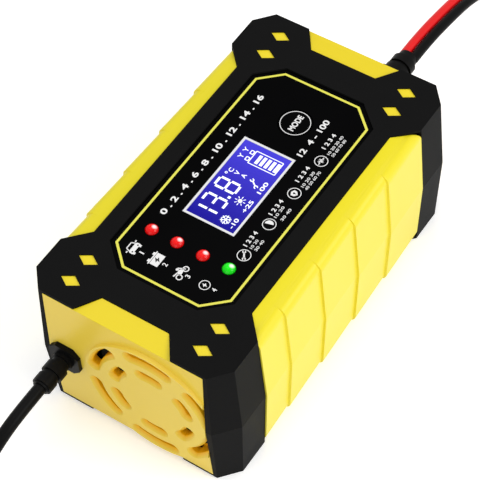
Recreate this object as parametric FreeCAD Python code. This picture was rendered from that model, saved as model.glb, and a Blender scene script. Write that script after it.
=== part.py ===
import FreeCAD, Part
import math
import os

# Car battery charger, in millimetres. X is its width, Y its length, Z is up.
# The origin is the bottom centre. The fan and the mains lead are at the -Y end,
# the output leads with their two clamps at the +Y end.

# Case
body_width = 84.0
body_length = 154.0
body_height = 66.0
mid_bulge = 1.8
corner_cut_x = 6.4
corner_cut_y = 7.5
case_wall = 2.2
plate_thick = 2.4
frame_edge = 1.2
fit_gap = 0.1
side_notch_depth = 8.3
side_notch_inner = 46.3
side_notch_outer = 55.1
end_notch_depth = 8.9
end_notch_inner = 14.3
end_notch_outer = 20.6
end_window_half = 34.0
lip_drop = 0.4
tongue_depth = 1.5
tongue_thick = 1.6

# Yellow panels
panel_wall = 2.0
side_round = 4.0
side_band = 4.3
side_band_drop = 0.8
shingle_step = 0.9
shingle_first = -39.0
shingle_pitch = 23.0
shingle_count = 4

# Diamonds in the corners of the top
diamond_half_x = 4.2
diamond_half_y = 2.6
diamond_x = 28.0
diamond_rows = (57.4, 68.0)
diamond_thick = 0.8
diamond_drop = 0.5

# Display panel
display_half_x = 26.6
display_half_y = 55.2
display_cut_x = 9.6
display_cut_y = 8.9
display_drop = 0.8
display_thick = 1.5
display_ledge = 2.6
display_ledge_thick = 1.2
display_rim = 2.0
border_inset = 1.7
border_width = 0.95
border_depth = 0.4

# Screen, lamps and button
lcd_x = -1.3
lcd_y = -1.1
lcd_width = 22.2
lcd_length = 40.9
lcd_border = 0.9
lcd_glass_drop = 0.15
lcd_glass_thick = 2.4
led_radius = 2.45
led_y = -34.3
led_first_x = -16.9
led_pitch = 11.05
led_count = 4
led_dome = 1.5
led_hole_gap = 0.12
button_x = 0.1
button_y = 34.4
button_radius = 6.5
button_travel = 0.5
button_side_gap = 0.25
button_flange = 1.1
button_flange_thick = 0.8
button_flange_gap = 0.15
button_stem_radius = 2.0
switch_size = 6.0
switch_height = 3.6
plunger_radius = 1.75
plunger_gap = 0.1
plunger_height = 1.4
plunger_depth = 1.6

# Boards
display_board_depth = 10.4
display_board_thick = 1.6
display_board_half_x = 27.0
display_board_half_y = 49.0
display_boss_radius = 2.6
display_boss_x = 24.0
display_boss_y = 42.0
small_screw_radius = 1.0
small_screw_head = 1.9
small_screw_head_thick = 1.3
small_screw_length = 6.0
main_board_half_x = 33.6
main_board_half_y = 60.0
main_board_thick = 1.6
standoff_height = 5.6
standoff_radius = 3.0
standoff_x = 29.0
standoff_y = 53.0

# Case screws in the four corner posts
boss_x = 37.2
boss_y = 59.9
boss_radius = 3.1
screw_radius = 1.5
screw_hole_gap = 0.15
screw_head_radius = 2.7
screw_head_thick = 2.0
screw_seat = 18.0
screw_length = 26.0

# Vent and fan at the near end
vent_x = 10.8
vent_drop = 0.9
vent_disc_radius = 28.8
vent_disc_proud = 0.15
vent_inner_depth = 2.2
vent_outer_radius = 25.1
vent_outer_width = 3.0
vent_outer_angle = 42.0
vent_inner_radius = 16.4
vent_inner_width = 2.8
vent_inner_angle = 33.0
vent_slots = 6
vent_first_angle = 29.0
vent_flare = 1.4
vent_flare_depth = 1.5
fan_size = 50.0
fan_depth = 10.0
fan_gap = 0.1
fan_post_height = 1.4
fan_bore = 23.8
fan_hub = 11.5
fan_blades = 7
fan_blade_gap = 0.6
fan_blade_thick = 1.2
fan_blade_tilt = 38.0
fan_hub_gap = 0.5
fan_motor_radius = 11.0
fan_motor_thick = 2.0
fan_strut = 3.0
fan_screw_pitch = 40.0
fan_post_radius = 2.4
fan_screw_radius = 1.4
fan_screw_bite = 2.2
bearing_radius = 2.6
bearing_length = 5.0
shaft_radius = 1.0
shaft_gap = 0.04
shaft_end_gap = 0.4

# Glands of the mains lead and of the output leads
mains_gland_x = -26.4
mains_gland_rise = 0.2
output_gland_x = 14.5
output_gland_drop = 11.5
gland_flange = 13.0
gland_flange_cut = 3.0
gland_flange_thick = 2.5
gland_neck = 4.1
gland_tip_length = 3.0
gland_collar = 1.8
mains_gland_length = 17.8
mains_ring = 4.3
mains_ring_start = 3.1
mains_ring_width = 3.9
mains_ring_pitch = 5.7
mains_waist = 3.5
mains_tip = 3.2
output_gland_length = 16.0
output_ring = 5.2
output_ring_start = 0.1
output_ring_width = 3.4
output_ring_pitch = 5.0
output_waist = 4.1
output_tip = 3.8
gland_through = 4.2
gland_root = 6.0
gland_ring_taper = 0.3
gland_barb = 5.6
gland_barb_thick = 1.6
gland_gap = 0.1

# Mains lead: round cable, coil and two-pin plug
mains_diameter = 5.0
turn_gap = 0.6
mains_coil_x = 3.0
mains_coil_y = -172.5
mains_coil_radius = 36.0
mains_turns_in = 2.5
mains_turns_out = 1.5
mains_tail = 30.0
plug_relief = 18.0
plug_length = 30.0
plug_width = 26.0
plug_thick = 16.0
plug_corner = 6.0
plug_floor_gap = 0.1
blade_pitch = 12.7
blade_width = 6.35
blade_thick = 1.5
blade_length = 17.0
blade_seat = 4.0

# Output leads: two wires side by side, one coil of both, a clamp on each
lead_diameter = 4.0
lead_exit_gap = 0.2
lead_coil_x = -8.0
lead_coil_y = 222.0
lead_coil_radius = 27.4
lead_turns_in = 1.5
lead_turns_out = 1.5

# Clamps, lying on the coil with their pins upright
clamp_jaw = 34.0
clamp_handle = 28.0
clamp_thick = 14.0
clamp_seat_gap = 0.3
clamp_sheet = 1.0
clamp_side_gap = 0.3
clamp_pin_radius = 1.5
clamp_pin_gap = 0.06
clamp_pin_head = 2.6
clamp_pin_head_thick = 0.8
clamp_ear = 4.4
clamp_web_start = 2.4
clamp_grip_wall = 1.3
clamp_entry = 11.0
clamp_entry_length = 4.0
clamp_entry_radius = 3.1
clamp_red_x = 14.4
clamp_black_x = -20.0
clamp_handle_y = 30.0
spring_wire = 0.6
spring_turns = 3
spring_radius = 2.6
spring_gap = 0.5
spring_leg = 4.4
spring_splay = 24.0

# Parts on the main board
transformer_size = (30.0, 26.0, 24.0)
transformer_at = (-10.0, 8.0)
capacitor_radius = 8.0
capacitor_height = 26.0
capacitor_at = (20.0, -38.0)
small_capacitor_radius = 5.0
small_capacitor_height = 18.0
small_capacitor_pitch = 13.0
small_capacitors = 3
sink_thick = 3.0
sink_length = 56.0
sink_height = 30.0
sink_x = -30.0
sink_fins = 5
sink_fin = 3.0
transistor_size = (4.0, 10.0, 15.0)
choke_radius = 9.0
choke_hole = 4.5
choke_height = 8.0
fuse_radius = 2.6
fuse_length = 20.0
relay_size = (15.0, 19.0, 15.0)
relay_at = (17.0, -8.0)
ribbon_gap = 0.6
ribbon_width = 14.0
ribbon_thick = 1.2

half_width = body_width / 2
split_height = body_height / 2
vent_z = split_height - vent_drop
mains_gland_z = split_height + mains_gland_rise
output_gland_z = body_height - output_gland_drop
half_length = body_length / 2
plate_bottom = body_height - plate_thick
display_top = body_height - display_drop
display_bottom = display_top - display_thick
ledge_bottom = display_bottom - display_ledge_thick
board_top = body_height - display_board_depth
board_bottom = board_top - display_board_thick
main_board_z = plate_thick + standoff_height
main_board_top = main_board_z + main_board_thick
panel_top = body_height - frame_edge - fit_gap
notch_x = half_width - side_notch_depth
notch_y = half_length - end_notch_depth
turn_step = lead_diameter + turn_gap
mains_step = mains_diameter + turn_gap
coil_top = 2 * lead_diameter + turn_gap
clamp_floor = coil_top + clamp_seat_gap
clamp_axis_z = clamp_floor + clamp_thick / 2


def vec(x, y, z):
    return FreeCAD.Vector(x, y, z)


def box(x0, x1, y0, y1, z0, z1):
    return Part.makeBox(x1 - x0, y1 - y0, z1 - z0, vec(x0, y0, z0))


def cylinder(radius, base, direction, length):
    return Part.makeCylinder(radius, length, vec(*base), vec(*direction))


def polygon(points):
    return Part.makePolygon([vec(*p) for p in points] + [vec(*points[0])])


def prism(outline, z0, z1):
    """A flat outline of (x, y) points, raised from z0 to z1."""
    wire = polygon([(x, y, z0) for x, y in outline])
    return Part.Face(wire).extrude(vec(0, 0, z1 - z0))


def loft(low, z0, high, z1):
    """A solid with straight walls between two outlines with as many points."""
    wires = [polygon([(x, y, z) for x, y in outline]) for outline, z in ((low, z0), (high, z1))]
    return Part.makeLoft(wires, True, True)


def octagon(half_x, half_y, cut_x, cut_y):
    corner = [(half_x, half_y - cut_y), (half_x - cut_x, half_y)]
    left = [(-x, y) for x, y in reversed(corner)]
    return corner + left + [(-x, -y) for x, y in corner + left]


def inset_octagon(half_x, half_y, cut_x, cut_y, inset):
    """The octagon whose eight sides all lie the same distance inside."""
    slant = math.hypot(cut_x, cut_y)
    new_x = cut_x - inset * (1 - (slant - cut_x) / cut_y)
    new_y = cut_y - inset * (1 - (slant - cut_y) / cut_x)
    return octagon(half_x - inset, half_y - inset, new_x, new_y)


def case_outline(inset):
    return inset_octagon(half_width, half_length, corner_cut_x, corner_cut_y, inset)


def display_outline(inset):
    return inset_octagon(display_half_x, display_half_y, display_cut_x, display_cut_y, inset)


def case_body(inset, low=0.0, high=body_height):
    """The case's bulging block, some way inside its outer face."""
    lower = loft(case_outline(inset), 0, case_outline(inset - mid_bulge), split_height)
    upper = loft(case_outline(inset - mid_bulge), split_height, case_outline(inset), body_height)
    reach = half_length + mid_bulge
    return lower.fuse(upper).common(box(-reach, reach, -reach, reach, low, high)).removeSplitter()


def all_corners(shape):
    """The shape in all four corners, as one list."""
    across = shape.mirror(vec(0, 0, 0), vec(1, 0, 0))
    pair = [shape, across]
    return pair + [s.mirror(vec(0, 0, 0), vec(0, 1, 0)) for s in pair]


def side_notch(gap, beyond=10.0):
    """Plan of the notch that the yellow side fills, pulled in by a gap."""
    x = notch_x + gap
    outer = side_notch_outer - gap
    inner = side_notch_inner - gap
    right = [(x, inner), (half_width, outer), (half_width + beyond, outer)]
    return right + [(a, -b) for a, b in reversed(right)]


def end_notch(gap, beyond=10.0):
    """Plan of the notch that the yellow end fills, pulled in by a gap."""
    y = notch_y + gap
    outer = end_notch_outer - gap
    inner = end_notch_inner - gap
    right = [(inner, y), (outer, half_length), (outer, half_length + beyond)]
    return right + [(-a, b) for a, b in reversed(right)]


def flip_y(shape):
    return shape.mirror(vec(0, 0, 0), vec(0, 1, 0))


def flip_x(shape):
    return shape.mirror(vec(0, 0, 0), vec(1, 0, 0))


def flip_z(shape):
    """The shape upside down inside the case's height."""
    return shape.mirror(vec(0, 0, body_height / 2), vec(0, 0, 1))


def frame_half(high_side):
    """One black frame: a notched plate and four half posts, from the split up."""
    block = case_body(0, split_height + fit_gap / 2)
    hollow = case_body(case_wall, split_height, plate_bottom)
    frame = block.cut(hollow)
    notches = [prism(side_notch(0), 0, body_height + 1), prism(end_notch(0), 0, body_height + 1)]
    notches += [flip_x(notches[0]), flip_y(notches[1])]
    frame = frame.cut(Part.makeCompound(notches))
    reach = half_length + mid_bulge + 1
    window = box(-end_window_half, end_window_half, notch_y, reach, 0, body_height - frame_edge)
    side = box(notch_x, reach, -side_notch_outer, side_notch_outer, 0, body_height - frame_edge)
    frame = frame.cut(Part.makeCompound([window, flip_y(window), side, flip_x(side)]))
    top = plate_bottom if high_side else body_height - plate_thick
    boss = cylinder(boss_radius, (boss_x, boss_y, split_height + fit_gap / 2), (0, 0, 1), top - split_height)
    boss = boss.common(case_body(case_wall / 2))
    return frame.fuse(all_corners(boss)).removeSplitter()


def screw_hole(radius, z0, z1):
    return all_corners(cylinder(radius, (boss_x, boss_y, z0), (0, 0, 1), z1 - z0))


def diamond(x, y, grow, z0, z1):
    points = [(x + diamond_half_x + grow, y), (x, y + diamond_half_y + grow),
              (x - diamond_half_x - grow, y), (x, y - diamond_half_y - grow)]
    return prism(points, z0, z1)


def top_frame():
    frame = frame_half(True)
    rim = prism(display_outline(-display_rim), ledge_bottom, plate_bottom)
    frame = frame.fuse(rim)
    frame = frame.cut(prism(display_outline(-fit_gap), display_bottom, body_height + 1))
    frame = frame.cut(prism(display_outline(display_ledge), 0, body_height))
    boss = cylinder(display_boss_radius, (display_boss_x, display_boss_y, board_top), (0, 0, 1),
                    ledge_bottom + display_ledge_thick / 2 - board_top)
    frame = frame.fuse(all_corners(boss))
    bore = cylinder(small_screw_radius, (display_boss_x, display_boss_y, board_top), (0, 0, 1),
                    small_screw_length)
    recess = [diamond(diamond_x, y, fit_gap / 2, body_height - diamond_drop - diamond_thick, body_height + 1)
              for y in diamond_rows]
    cuts = all_corners(bore) + [c for r in recess for c in all_corners(r)]
    cuts += screw_hole(screw_radius, split_height, screw_seat + screw_length + 2)
    return frame.cut(Part.makeCompound(cuts)).removeSplitter()


def bottom_frame():
    frame = flip_z(frame_half(False))
    standoff = cylinder(standoff_radius, (standoff_x, standoff_y, plate_thick / 2), (0, 0, 1),
                        main_board_z - plate_thick / 2)
    frame = frame.fuse(all_corners(standoff))
    bore = cylinder(small_screw_radius, (standoff_x, standoff_y, plate_thick), (0, 0, 1), standoff_height)
    cuts = all_corners(bore)
    cuts += screw_hole(screw_radius + screw_hole_gap, 0, split_height)
    cuts += screw_hole(screw_head_radius + screw_hole_gap, -1, screw_seat)
    return frame.cut(Part.makeCompound(cuts)).removeSplitter()


def end_lip():
    """The band that fills the top notch of the far end, with a tongue under the plate."""
    low = plate_bottom
    section = [(half_length, low), (half_length, panel_top), (notch_y, body_height - lip_drop), (notch_y, low)]
    reach = end_notch_outer + tongue_depth
    wedge = Part.Face(polygon([(-reach, y, z) for y, z in section])).extrude(vec(2 * reach, 0, 0))
    wedge = wedge.common(prism(end_notch(fit_gap), low - 1, body_height))
    outer = end_notch(-tongue_depth, 0)
    tongue = prism(outer, low - fit_gap - tongue_thick, low - fit_gap)
    inner = end_notch(fit_gap, 0)
    joint = prism(inner, low - fit_gap - tongue_thick, low + 0.01)
    return wedge.fuse([tongue, joint])


def end_panel():
    """The yellow panel of the far end, with no holes."""
    low = frame_edge + fit_gap
    slab = case_body(0, low, panel_top).cut(case_body(panel_wall))
    half = end_window_half - fit_gap
    slab = slab.common(box(-half, half, notch_y, half_length + mid_bulge + 1, 0, body_height))
    lip = end_lip()
    keep = case_body(0)
    return slab.fuse([lip.common(keep), flip_z(lip).common(keep)]).removeSplitter()


def gland_hole(x, z, sign):
    return cylinder(gland_through + gland_gap, (x, 0, z), (0, sign, 0), body_length)


def arc_slot(radius, width, spread, middle, y):
    """Outline of a curved slot with round ends, in the plane of an end face."""
    def at(r, angle):
        turn = math.radians(angle)
        return vec(vent_x + r * math.cos(turn), y, vent_z + r * math.sin(turn))

    inner, outer = radius - width / 2, radius + width / 2
    end = spread / 2 - math.degrees(width / 2 / radius)
    cap = end + math.degrees(width / 2 / radius)
    arcs = [Part.Arc(at(outer, middle - end), at(outer, middle), at(outer, middle + end)),
            Part.Arc(at(outer, middle + end), at(radius, middle + cap), at(inner, middle + end)),
            Part.Arc(at(inner, middle + end), at(inner, middle), at(inner, middle - end)),
            Part.Arc(at(inner, middle - end), at(radius, middle - cap), at(outer, middle - end))]
    return Part.Wire([a.toShape() for a in arcs])


def vent_cuts(face_y):
    cuts = []
    depth = vent_inner_depth + fan_post_height + mid_bulge + 1
    rings = [(vent_outer_radius, vent_outer_width, vent_outer_angle),
             (vent_inner_radius, vent_inner_width, vent_inner_angle)]
    for radius, width, spread in rings:
        for k in range(vent_slots):
            middle = vent_first_angle + 360 / vent_slots * k
            through = arc_slot(radius, width, spread, middle, face_y - 1)
            cuts.append(Part.Face(through).extrude(vec(0, depth, 0)))
            wide = arc_slot(radius, width + 2 * vent_flare, spread + math.degrees(2 * vent_flare / radius),
                            middle, face_y)
            narrow = arc_slot(radius, width, spread, middle, face_y + vent_flare_depth)
            cuts.append(Part.makeLoft([wide, narrow], True, True))
    return cuts


def vent_face_y():
    return -half_length - mid_bulge - vent_disc_proud


def end_panel_near():
    """The mains end: a round flat grille in front of the fan, and the gland's hole."""
    panel = flip_y(end_panel())
    face = vent_face_y()
    inner = -half_length + vent_inner_depth
    disc = cylinder(vent_disc_radius, (vent_x, face, vent_z), (0, 1, 0), inner - face)
    half = end_window_half - fit_gap
    disc = disc.common(box(-half, half, face - 1, inner, frame_edge + fit_gap, panel_top))
    panel = panel.fuse(disc)
    posts = []
    pilots = []
    for dx in (-1, 1):
        for dz in (-1, 1):
            x, z = vent_x + dx * fan_screw_pitch / 2, vent_z + dz * fan_screw_pitch / 2
            posts.append(cylinder(fan_post_radius, (x, -half_length + 1, z), (0, 1, 0),
                                  vent_inner_depth + fan_post_height - 1))
            pilots.append(cylinder(fan_screw_radius, (x, fan_back_y() - fan_screw_bite, z), (0, 1, 0),
                                   fan_depth))
    panel = panel.fuse(posts)
    cuts = vent_cuts(face) + pilots + [gland_hole(mains_gland_x, mains_gland_z, -1)]
    return panel.cut(Part.makeCompound(cuts)).removeSplitter()


def end_panel_far():
    panel = end_panel()
    return panel.cut(gland_hole(output_gland_x, output_gland_z, 1)).removeSplitter()


def rounded_path(points, radii):
    """Straight runs joined by tangent arcs, through points given as vectors."""
    edges = []
    start = points[0]
    for before, point, after, radius in zip(points, points[1:], points[2:], radii):
        back = (before - point).normalize()
        on = (after - point).normalize()
        half_turn = (math.pi - back.getAngle(on)) / 2
        cut = radius * math.tan(half_turn)
        middle = (back + on).normalize()
        first, last = point + back * cut, point + on * cut
        top = point + middle * (radius / math.cos(half_turn) - radius)
        edges.append(Part.LineSegment(start, first).toShape())
        edges.append(Part.Arc(first, top, last).toShape())
        start = last
    edges.append(Part.LineSegment(start, points[-1]).toShape())
    return edges


def side_wire(y, out):
    """Closed section of the side panel: band, round shoulder, bulging wall and back."""
    top = body_height - lip_drop
    shoulder = body_height - lip_drop - side_band_drop
    x = half_width + out
    corner = vec(x, y, shoulder - 0.6)
    upper = [vec(notch_x + fit_gap, y, top), vec(notch_x + side_band, y, shoulder), corner,
             vec(x + mid_bulge, y, split_height)]
    edges = rounded_path(upper, [6.0, side_round])
    down = [vec(p.x, p.y, body_height - p.z) for p in reversed(upper)]
    edges += rounded_path(down, [side_round, 6.0])
    back = half_width - panel_wall
    inner = [down[-1], vec(notch_x + fit_gap, y, lip_drop + panel_wall), vec(back, y, lip_drop + 2 * panel_wall),
             vec(back + mid_bulge, y, split_height), vec(back, y, top - 2 * panel_wall),
             vec(notch_x + fit_gap, y, top - panel_wall), upper[0]]
    edges += [Part.LineSegment(a, b).toShape() for a, b in zip(inner, inner[1:])]
    return Part.Wire(edges)


def side_panel():
    """The right side: five shingles, each a small step proud of the one before it."""
    end = side_notch_outer
    steps = [shingle_first + shingle_pitch * k for k in range(shingle_count)]
    starts = [-end] + steps
    stops = steps + [end]
    sections = []
    for start, stop in zip(starts, stops):
        proud = shingle_step * min(1.0, (stop - start) / shingle_pitch)
        sections.append(Part.makeLoft([side_wire(start, proud), side_wire(stop, 0)], True, True))
    panel = sections[0].fuse(sections[1:])
    panel = panel.common(prism(side_notch(fit_gap), 0, body_height))
    low = plate_bottom - fit_gap
    tongue = prism([(x - tongue_depth - fit_gap, y) for x, y in side_notch(fit_gap, -panel_wall)],
                   low - tongue_thick, low)
    joint = prism(side_notch(fit_gap, -panel_wall), low - tongue_thick, low + fit_gap)
    return panel.fuse([tongue, joint, flip_z(tongue), flip_z(joint)]).removeSplitter()


def corner_inlays():
    shapes = []
    for y in diamond_rows:
        low = body_height - diamond_drop - diamond_thick
        shapes += all_corners(diamond(diamond_x, y, 0, low, low + diamond_thick))
    return Part.makeCompound(shapes)


def border_ring(grow, low, high):
    outer = prism(display_outline(border_inset - grow), low, high)
    return outer.cut(prism(display_outline(border_inset + border_width + grow), low - 1, high + 1))


def lcd_box(inset, z0, z1):
    half_x, half_y = lcd_width / 2 - inset, lcd_length / 2 - inset
    return box(lcd_x - half_x, lcd_x + half_x, lcd_y - half_y, lcd_y + half_y, z0, z1)


def led_places():
    return [led_first_x + led_pitch * k for k in range(led_count)]


def display_panel():
    panel = prism(display_outline(0), display_bottom, display_top)
    cuts = [border_ring(fit_gap / 2, display_top - border_depth, display_top + 1)]
    cuts.append(lcd_box(-fit_gap, display_bottom - 1, display_top + 1))
    cuts += [cylinder(led_radius + led_hole_gap, (x, led_y, display_bottom - 1), (0, 0, 1), 4)
             for x in led_places()]
    cuts.append(cylinder(button_radius + button_side_gap, (button_x, button_y, display_bottom - 1),
                         (0, 0, 1), 4))
    return panel.cut(Part.makeCompound(cuts))


def panel_border():
    return border_ring(0, display_top - border_depth, display_top)


def lcd_bezel():
    frame = lcd_box(0, display_bottom, display_top)
    return frame.cut(lcd_box(lcd_border, display_bottom - 1, display_top + 1))


def lcd_glass():
    top = display_top - lcd_glass_drop
    return lcd_box(lcd_border + fit_gap, top - lcd_glass_thick, top)


def lcd_backlight():
    top = display_top - lcd_glass_drop - lcd_glass_thick
    return lcd_box(lcd_border + fit_gap, board_top, top)


def led_lens(x):
    straight = display_top + 0.3 - board_top
    body = cylinder(led_radius, (x, led_y, board_top), (0, 0, 1), straight)
    reach = (led_radius ** 2 + led_dome ** 2) / (2 * led_dome)
    ball = Part.makeSphere(reach, vec(x, led_y, board_top + straight + led_dome - reach))
    cap = ball.common(cylinder(led_radius, (x, led_y, board_top + straight / 2), (0, 0, 1), straight))
    return body.fuse(cap).removeSplitter()


def red_led_lenses():
    return Part.makeCompound([led_lens(x) for x in led_places()[:-1]])


def green_led_lens():
    return led_lens(led_places()[-1])


def plunger_top():
    return board_top + switch_height + plunger_height


def mode_button():
    """A round cap with a retaining flange and a stem down to its switch."""
    top = display_top
    cap = cylinder(button_radius, (button_x, button_y, display_bottom - 0.5), (0, 0, 1),
                   top - display_bottom + 0.5)
    rim = [e for e in cap.Edges if abs(e.CenterOfMass.z - top) < 0.01]
    cap = cap.makeFillet(button_side_gap, rim)
    high = display_bottom - button_flange_gap
    flange = cylinder(button_radius + button_flange, (button_x, button_y, high - button_flange_thick),
                      (0, 0, 1), button_flange_thick)
    stem = cylinder(button_stem_radius, (button_x, button_y, plunger_top()), (0, 0, 1), high - plunger_top())
    return cap.fuse([flange, stem]).removeSplitter()


def switch_plunger():
    low = board_top + switch_height - plunger_depth + button_travel
    return cylinder(plunger_radius, (button_x, button_y, low), (0, 0, 1), plunger_top() - low)


def tact_switch():
    half = switch_size / 2
    body = box(button_x - half, button_x + half, button_y - half, button_y + half,
               board_top, board_top + switch_height)
    low = board_top + switch_height - plunger_depth - 0.3
    return body.cut(cylinder(plunger_radius + plunger_gap, (button_x, button_y, low), (0, 0, 1),
                             switch_height))


def display_board():
    board = box(-display_board_half_x, display_board_half_x, -display_board_half_y, display_board_half_y,
                board_bottom, board_top)
    hole = cylinder(small_screw_radius + 0.1, (display_boss_x, display_boss_y, 0), (0, 0, 1), body_height)
    return board.cut(Part.makeCompound(all_corners(hole)))


def display_board_screws():
    head = cylinder(small_screw_head, (display_boss_x, display_boss_y, board_bottom - small_screw_head_thick),
                    (0, 0, 1), small_screw_head_thick)
    shank = cylinder(small_screw_radius, (display_boss_x, display_boss_y, board_bottom), (0, 0, 1),
                     display_board_thick + small_screw_length - 1)
    return Part.makeCompound(all_corners(head.fuse(shank).removeSplitter()))


def main_board():
    board = box(-main_board_half_x, main_board_half_x, -main_board_half_y, main_board_half_y,
                main_board_z, main_board_top)
    hole = cylinder(small_screw_radius + 0.1, (standoff_x, standoff_y, 0), (0, 0, 1), body_height)
    return board.cut(Part.makeCompound(all_corners(hole)))


def main_board_screws():
    head = cylinder(small_screw_head, (standoff_x, standoff_y, main_board_top), (0, 0, 1),
                    small_screw_head_thick)
    shank = cylinder(small_screw_radius, (standoff_x, standoff_y, main_board_z - standoff_height + 1),
                     (0, 0, 1), main_board_thick + standoff_height - 1)
    return Part.makeCompound(all_corners(head.fuse(shank).removeSplitter()))


def case_screws():
    head = cylinder(screw_head_radius, (boss_x, boss_y, screw_seat - screw_head_thick), (0, 0, 1),
                    screw_head_thick)
    slot = box(boss_x - 2, boss_x + 2, boss_y - 0.4, boss_y + 0.4, 0, screw_seat - screw_head_thick / 2)
    cross = slot.fuse(box(boss_x - 0.4, boss_x + 0.4, boss_y - 2, boss_y + 2, 0,
                          screw_seat - screw_head_thick / 2))
    shank = cylinder(screw_radius, (boss_x, boss_y, screw_seat), (0, 0, 1), screw_length)
    return Part.makeCompound(all_corners(head.cut(cross).fuse(shank).removeSplitter()))


def on_board(size, at):
    """A block standing on the main board, centred at a place."""
    x, y = at
    return box(x - size[0] / 2, x + size[0] / 2, y - size[1] / 2, y + size[1] / 2,
               main_board_top, main_board_top + size[2])


def transformer_core():
    """Two E halves round the bobbin: a closed frame with a middle leg."""
    width, depth, height = transformer_size
    core = on_board(transformer_size, transformer_at)
    x, y = transformer_at
    leg, yoke = width / 5, height / 5
    window = box(x + leg / 2, x + width / 2 - leg / 2, y - depth, y + depth,
                 main_board_top + yoke, main_board_top + height - yoke)
    other = window.mirror(vec(x, 0, 0), vec(1, 0, 0))
    return core.cut(Part.makeCompound([window, other]))


def transformer_bobbin():
    """Flanged spool round the middle leg."""
    width, depth, height = transformer_size
    x, y = transformer_at
    leg, yoke, gap, wall = width / 5, height / 5, fit_gap, 1.0
    low, high = main_board_top + yoke + gap, main_board_top + height - yoke - gap
    out_x, out_y = width / 2 - leg / 2 - gap, depth / 2 + leg
    flange = box(x - out_x, x + out_x, y - out_y, y + out_y, low, low + wall)
    top = flange.translated(vec(0, 0, high - low - wall))
    half_x, half_y = leg / 2 + gap + wall, depth / 2 + gap + wall
    spool = box(x - half_x, x + half_x, y - half_y, y + half_y, low, high)
    hole = box(x - leg / 2 - gap, x + leg / 2 + gap, y - depth / 2 - gap, y + depth / 2 + gap, 0, body_height)
    return flange.fuse([top, spool]).cut(hole).removeSplitter()


def transformer_winding():
    width, depth, height = transformer_size
    x, y = transformer_at
    leg, yoke, gap, wall = width / 5, height / 5, fit_gap, 1.0
    low = main_board_top + yoke + 2 * gap + wall
    high = main_board_top + height - yoke - 2 * gap - wall
    inner_x, inner_y = leg / 2 + 2 * gap + wall, depth / 2 + 2 * gap + wall
    outer_x, outer_y = width / 2 - leg / 2 - 3 * gap, depth / 2 + leg - gap
    block = box(x - outer_x, x + outer_x, y - outer_y, y + outer_y, low, high)
    return block.cut(box(x - inner_x, x + inner_x, y - inner_y, y + inner_y, 0, body_height))


def can(radius, height, at):
    body = cylinder(radius, (at[0], at[1], main_board_top), (0, 0, 1), height)
    rims = [e for e in body.Edges if abs(e.CenterOfMass.z - main_board_top - height) < 0.01]
    return body.makeFillet(radius / 10, rims)


def input_capacitor():
    return can(capacitor_radius, capacitor_height, capacitor_at)


def output_capacitors():
    x = main_board_half_x - small_capacitor_radius - 4
    first = standoff_y - standoff_radius - small_capacitor_radius - 2
    return Part.makeCompound([can(small_capacitor_radius, small_capacitor_height,
                                  (x, first - small_capacitor_pitch * k)) for k in range(small_capacitors)])


def heat_sink():
    """An upright finned plate along the left side."""
    x0 = sink_x
    plate = box(x0, x0 + sink_thick, -sink_length / 2, sink_length / 2, main_board_top,
                main_board_top + sink_height)
    fins = []
    for k in range(sink_fins):
        y = -sink_length / 2 + k * (sink_length - sink_thick / 2) / (sink_fins - 1)
        fins.append(box(x0 - sink_fin, x0, y, y + sink_thick / 2, main_board_top, main_board_top + sink_height))
    return plate.fuse(fins).removeSplitter()


def power_transistors():
    sx, sy, sz = transistor_size
    x = sink_x + sink_thick
    low = main_board_top
    blocks = [box(x, x + sx, y - sy / 2, y + sy / 2, low, low + sz)
              for y in (-sink_length / 2 + sy, transformer_at[1] + transformer_size[1])]
    return Part.makeCompound(blocks)


def output_choke():
    at = (transformer_at[0] + choke_radius, main_board_half_y - choke_radius - 12)
    ring = cylinder(choke_radius, (at[0], at[1], main_board_top), (0, 0, 1), choke_height)
    return ring.cut(cylinder(choke_hole, (at[0], at[1], 0), (0, 0, 1), body_height))


def mains_fuse():
    x = capacitor_at[0] - capacitor_radius - fuse_radius - 6
    y = -main_board_half_y + 6
    axis_z = main_board_top + fuse_radius + 1
    tube = cylinder(fuse_radius, (x - 2, y, axis_z), (0, 1, 0), fuse_length)
    foot = box(x - 2 - fuse_radius, x - 2 + fuse_radius, y + 2, y + 4, main_board_top, axis_z)
    other = foot.translated(vec(0, fuse_length - 6, 0))
    return tube.fuse([foot, other]).removeSplitter()


def polarity_relay():
    return on_board(relay_size, relay_at)


def board_ribbon():
    """Flat lead between the two boards."""
    x = relay_at[0] + relay_size[0] / 2 + ribbon_gap
    y = relay_at[1]
    return box(x, x + ribbon_thick, y - ribbon_width, y, main_board_top, board_bottom)


def fan_back_y():
    return -half_length + vent_inner_depth + fan_post_height + fan_gap


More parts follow.
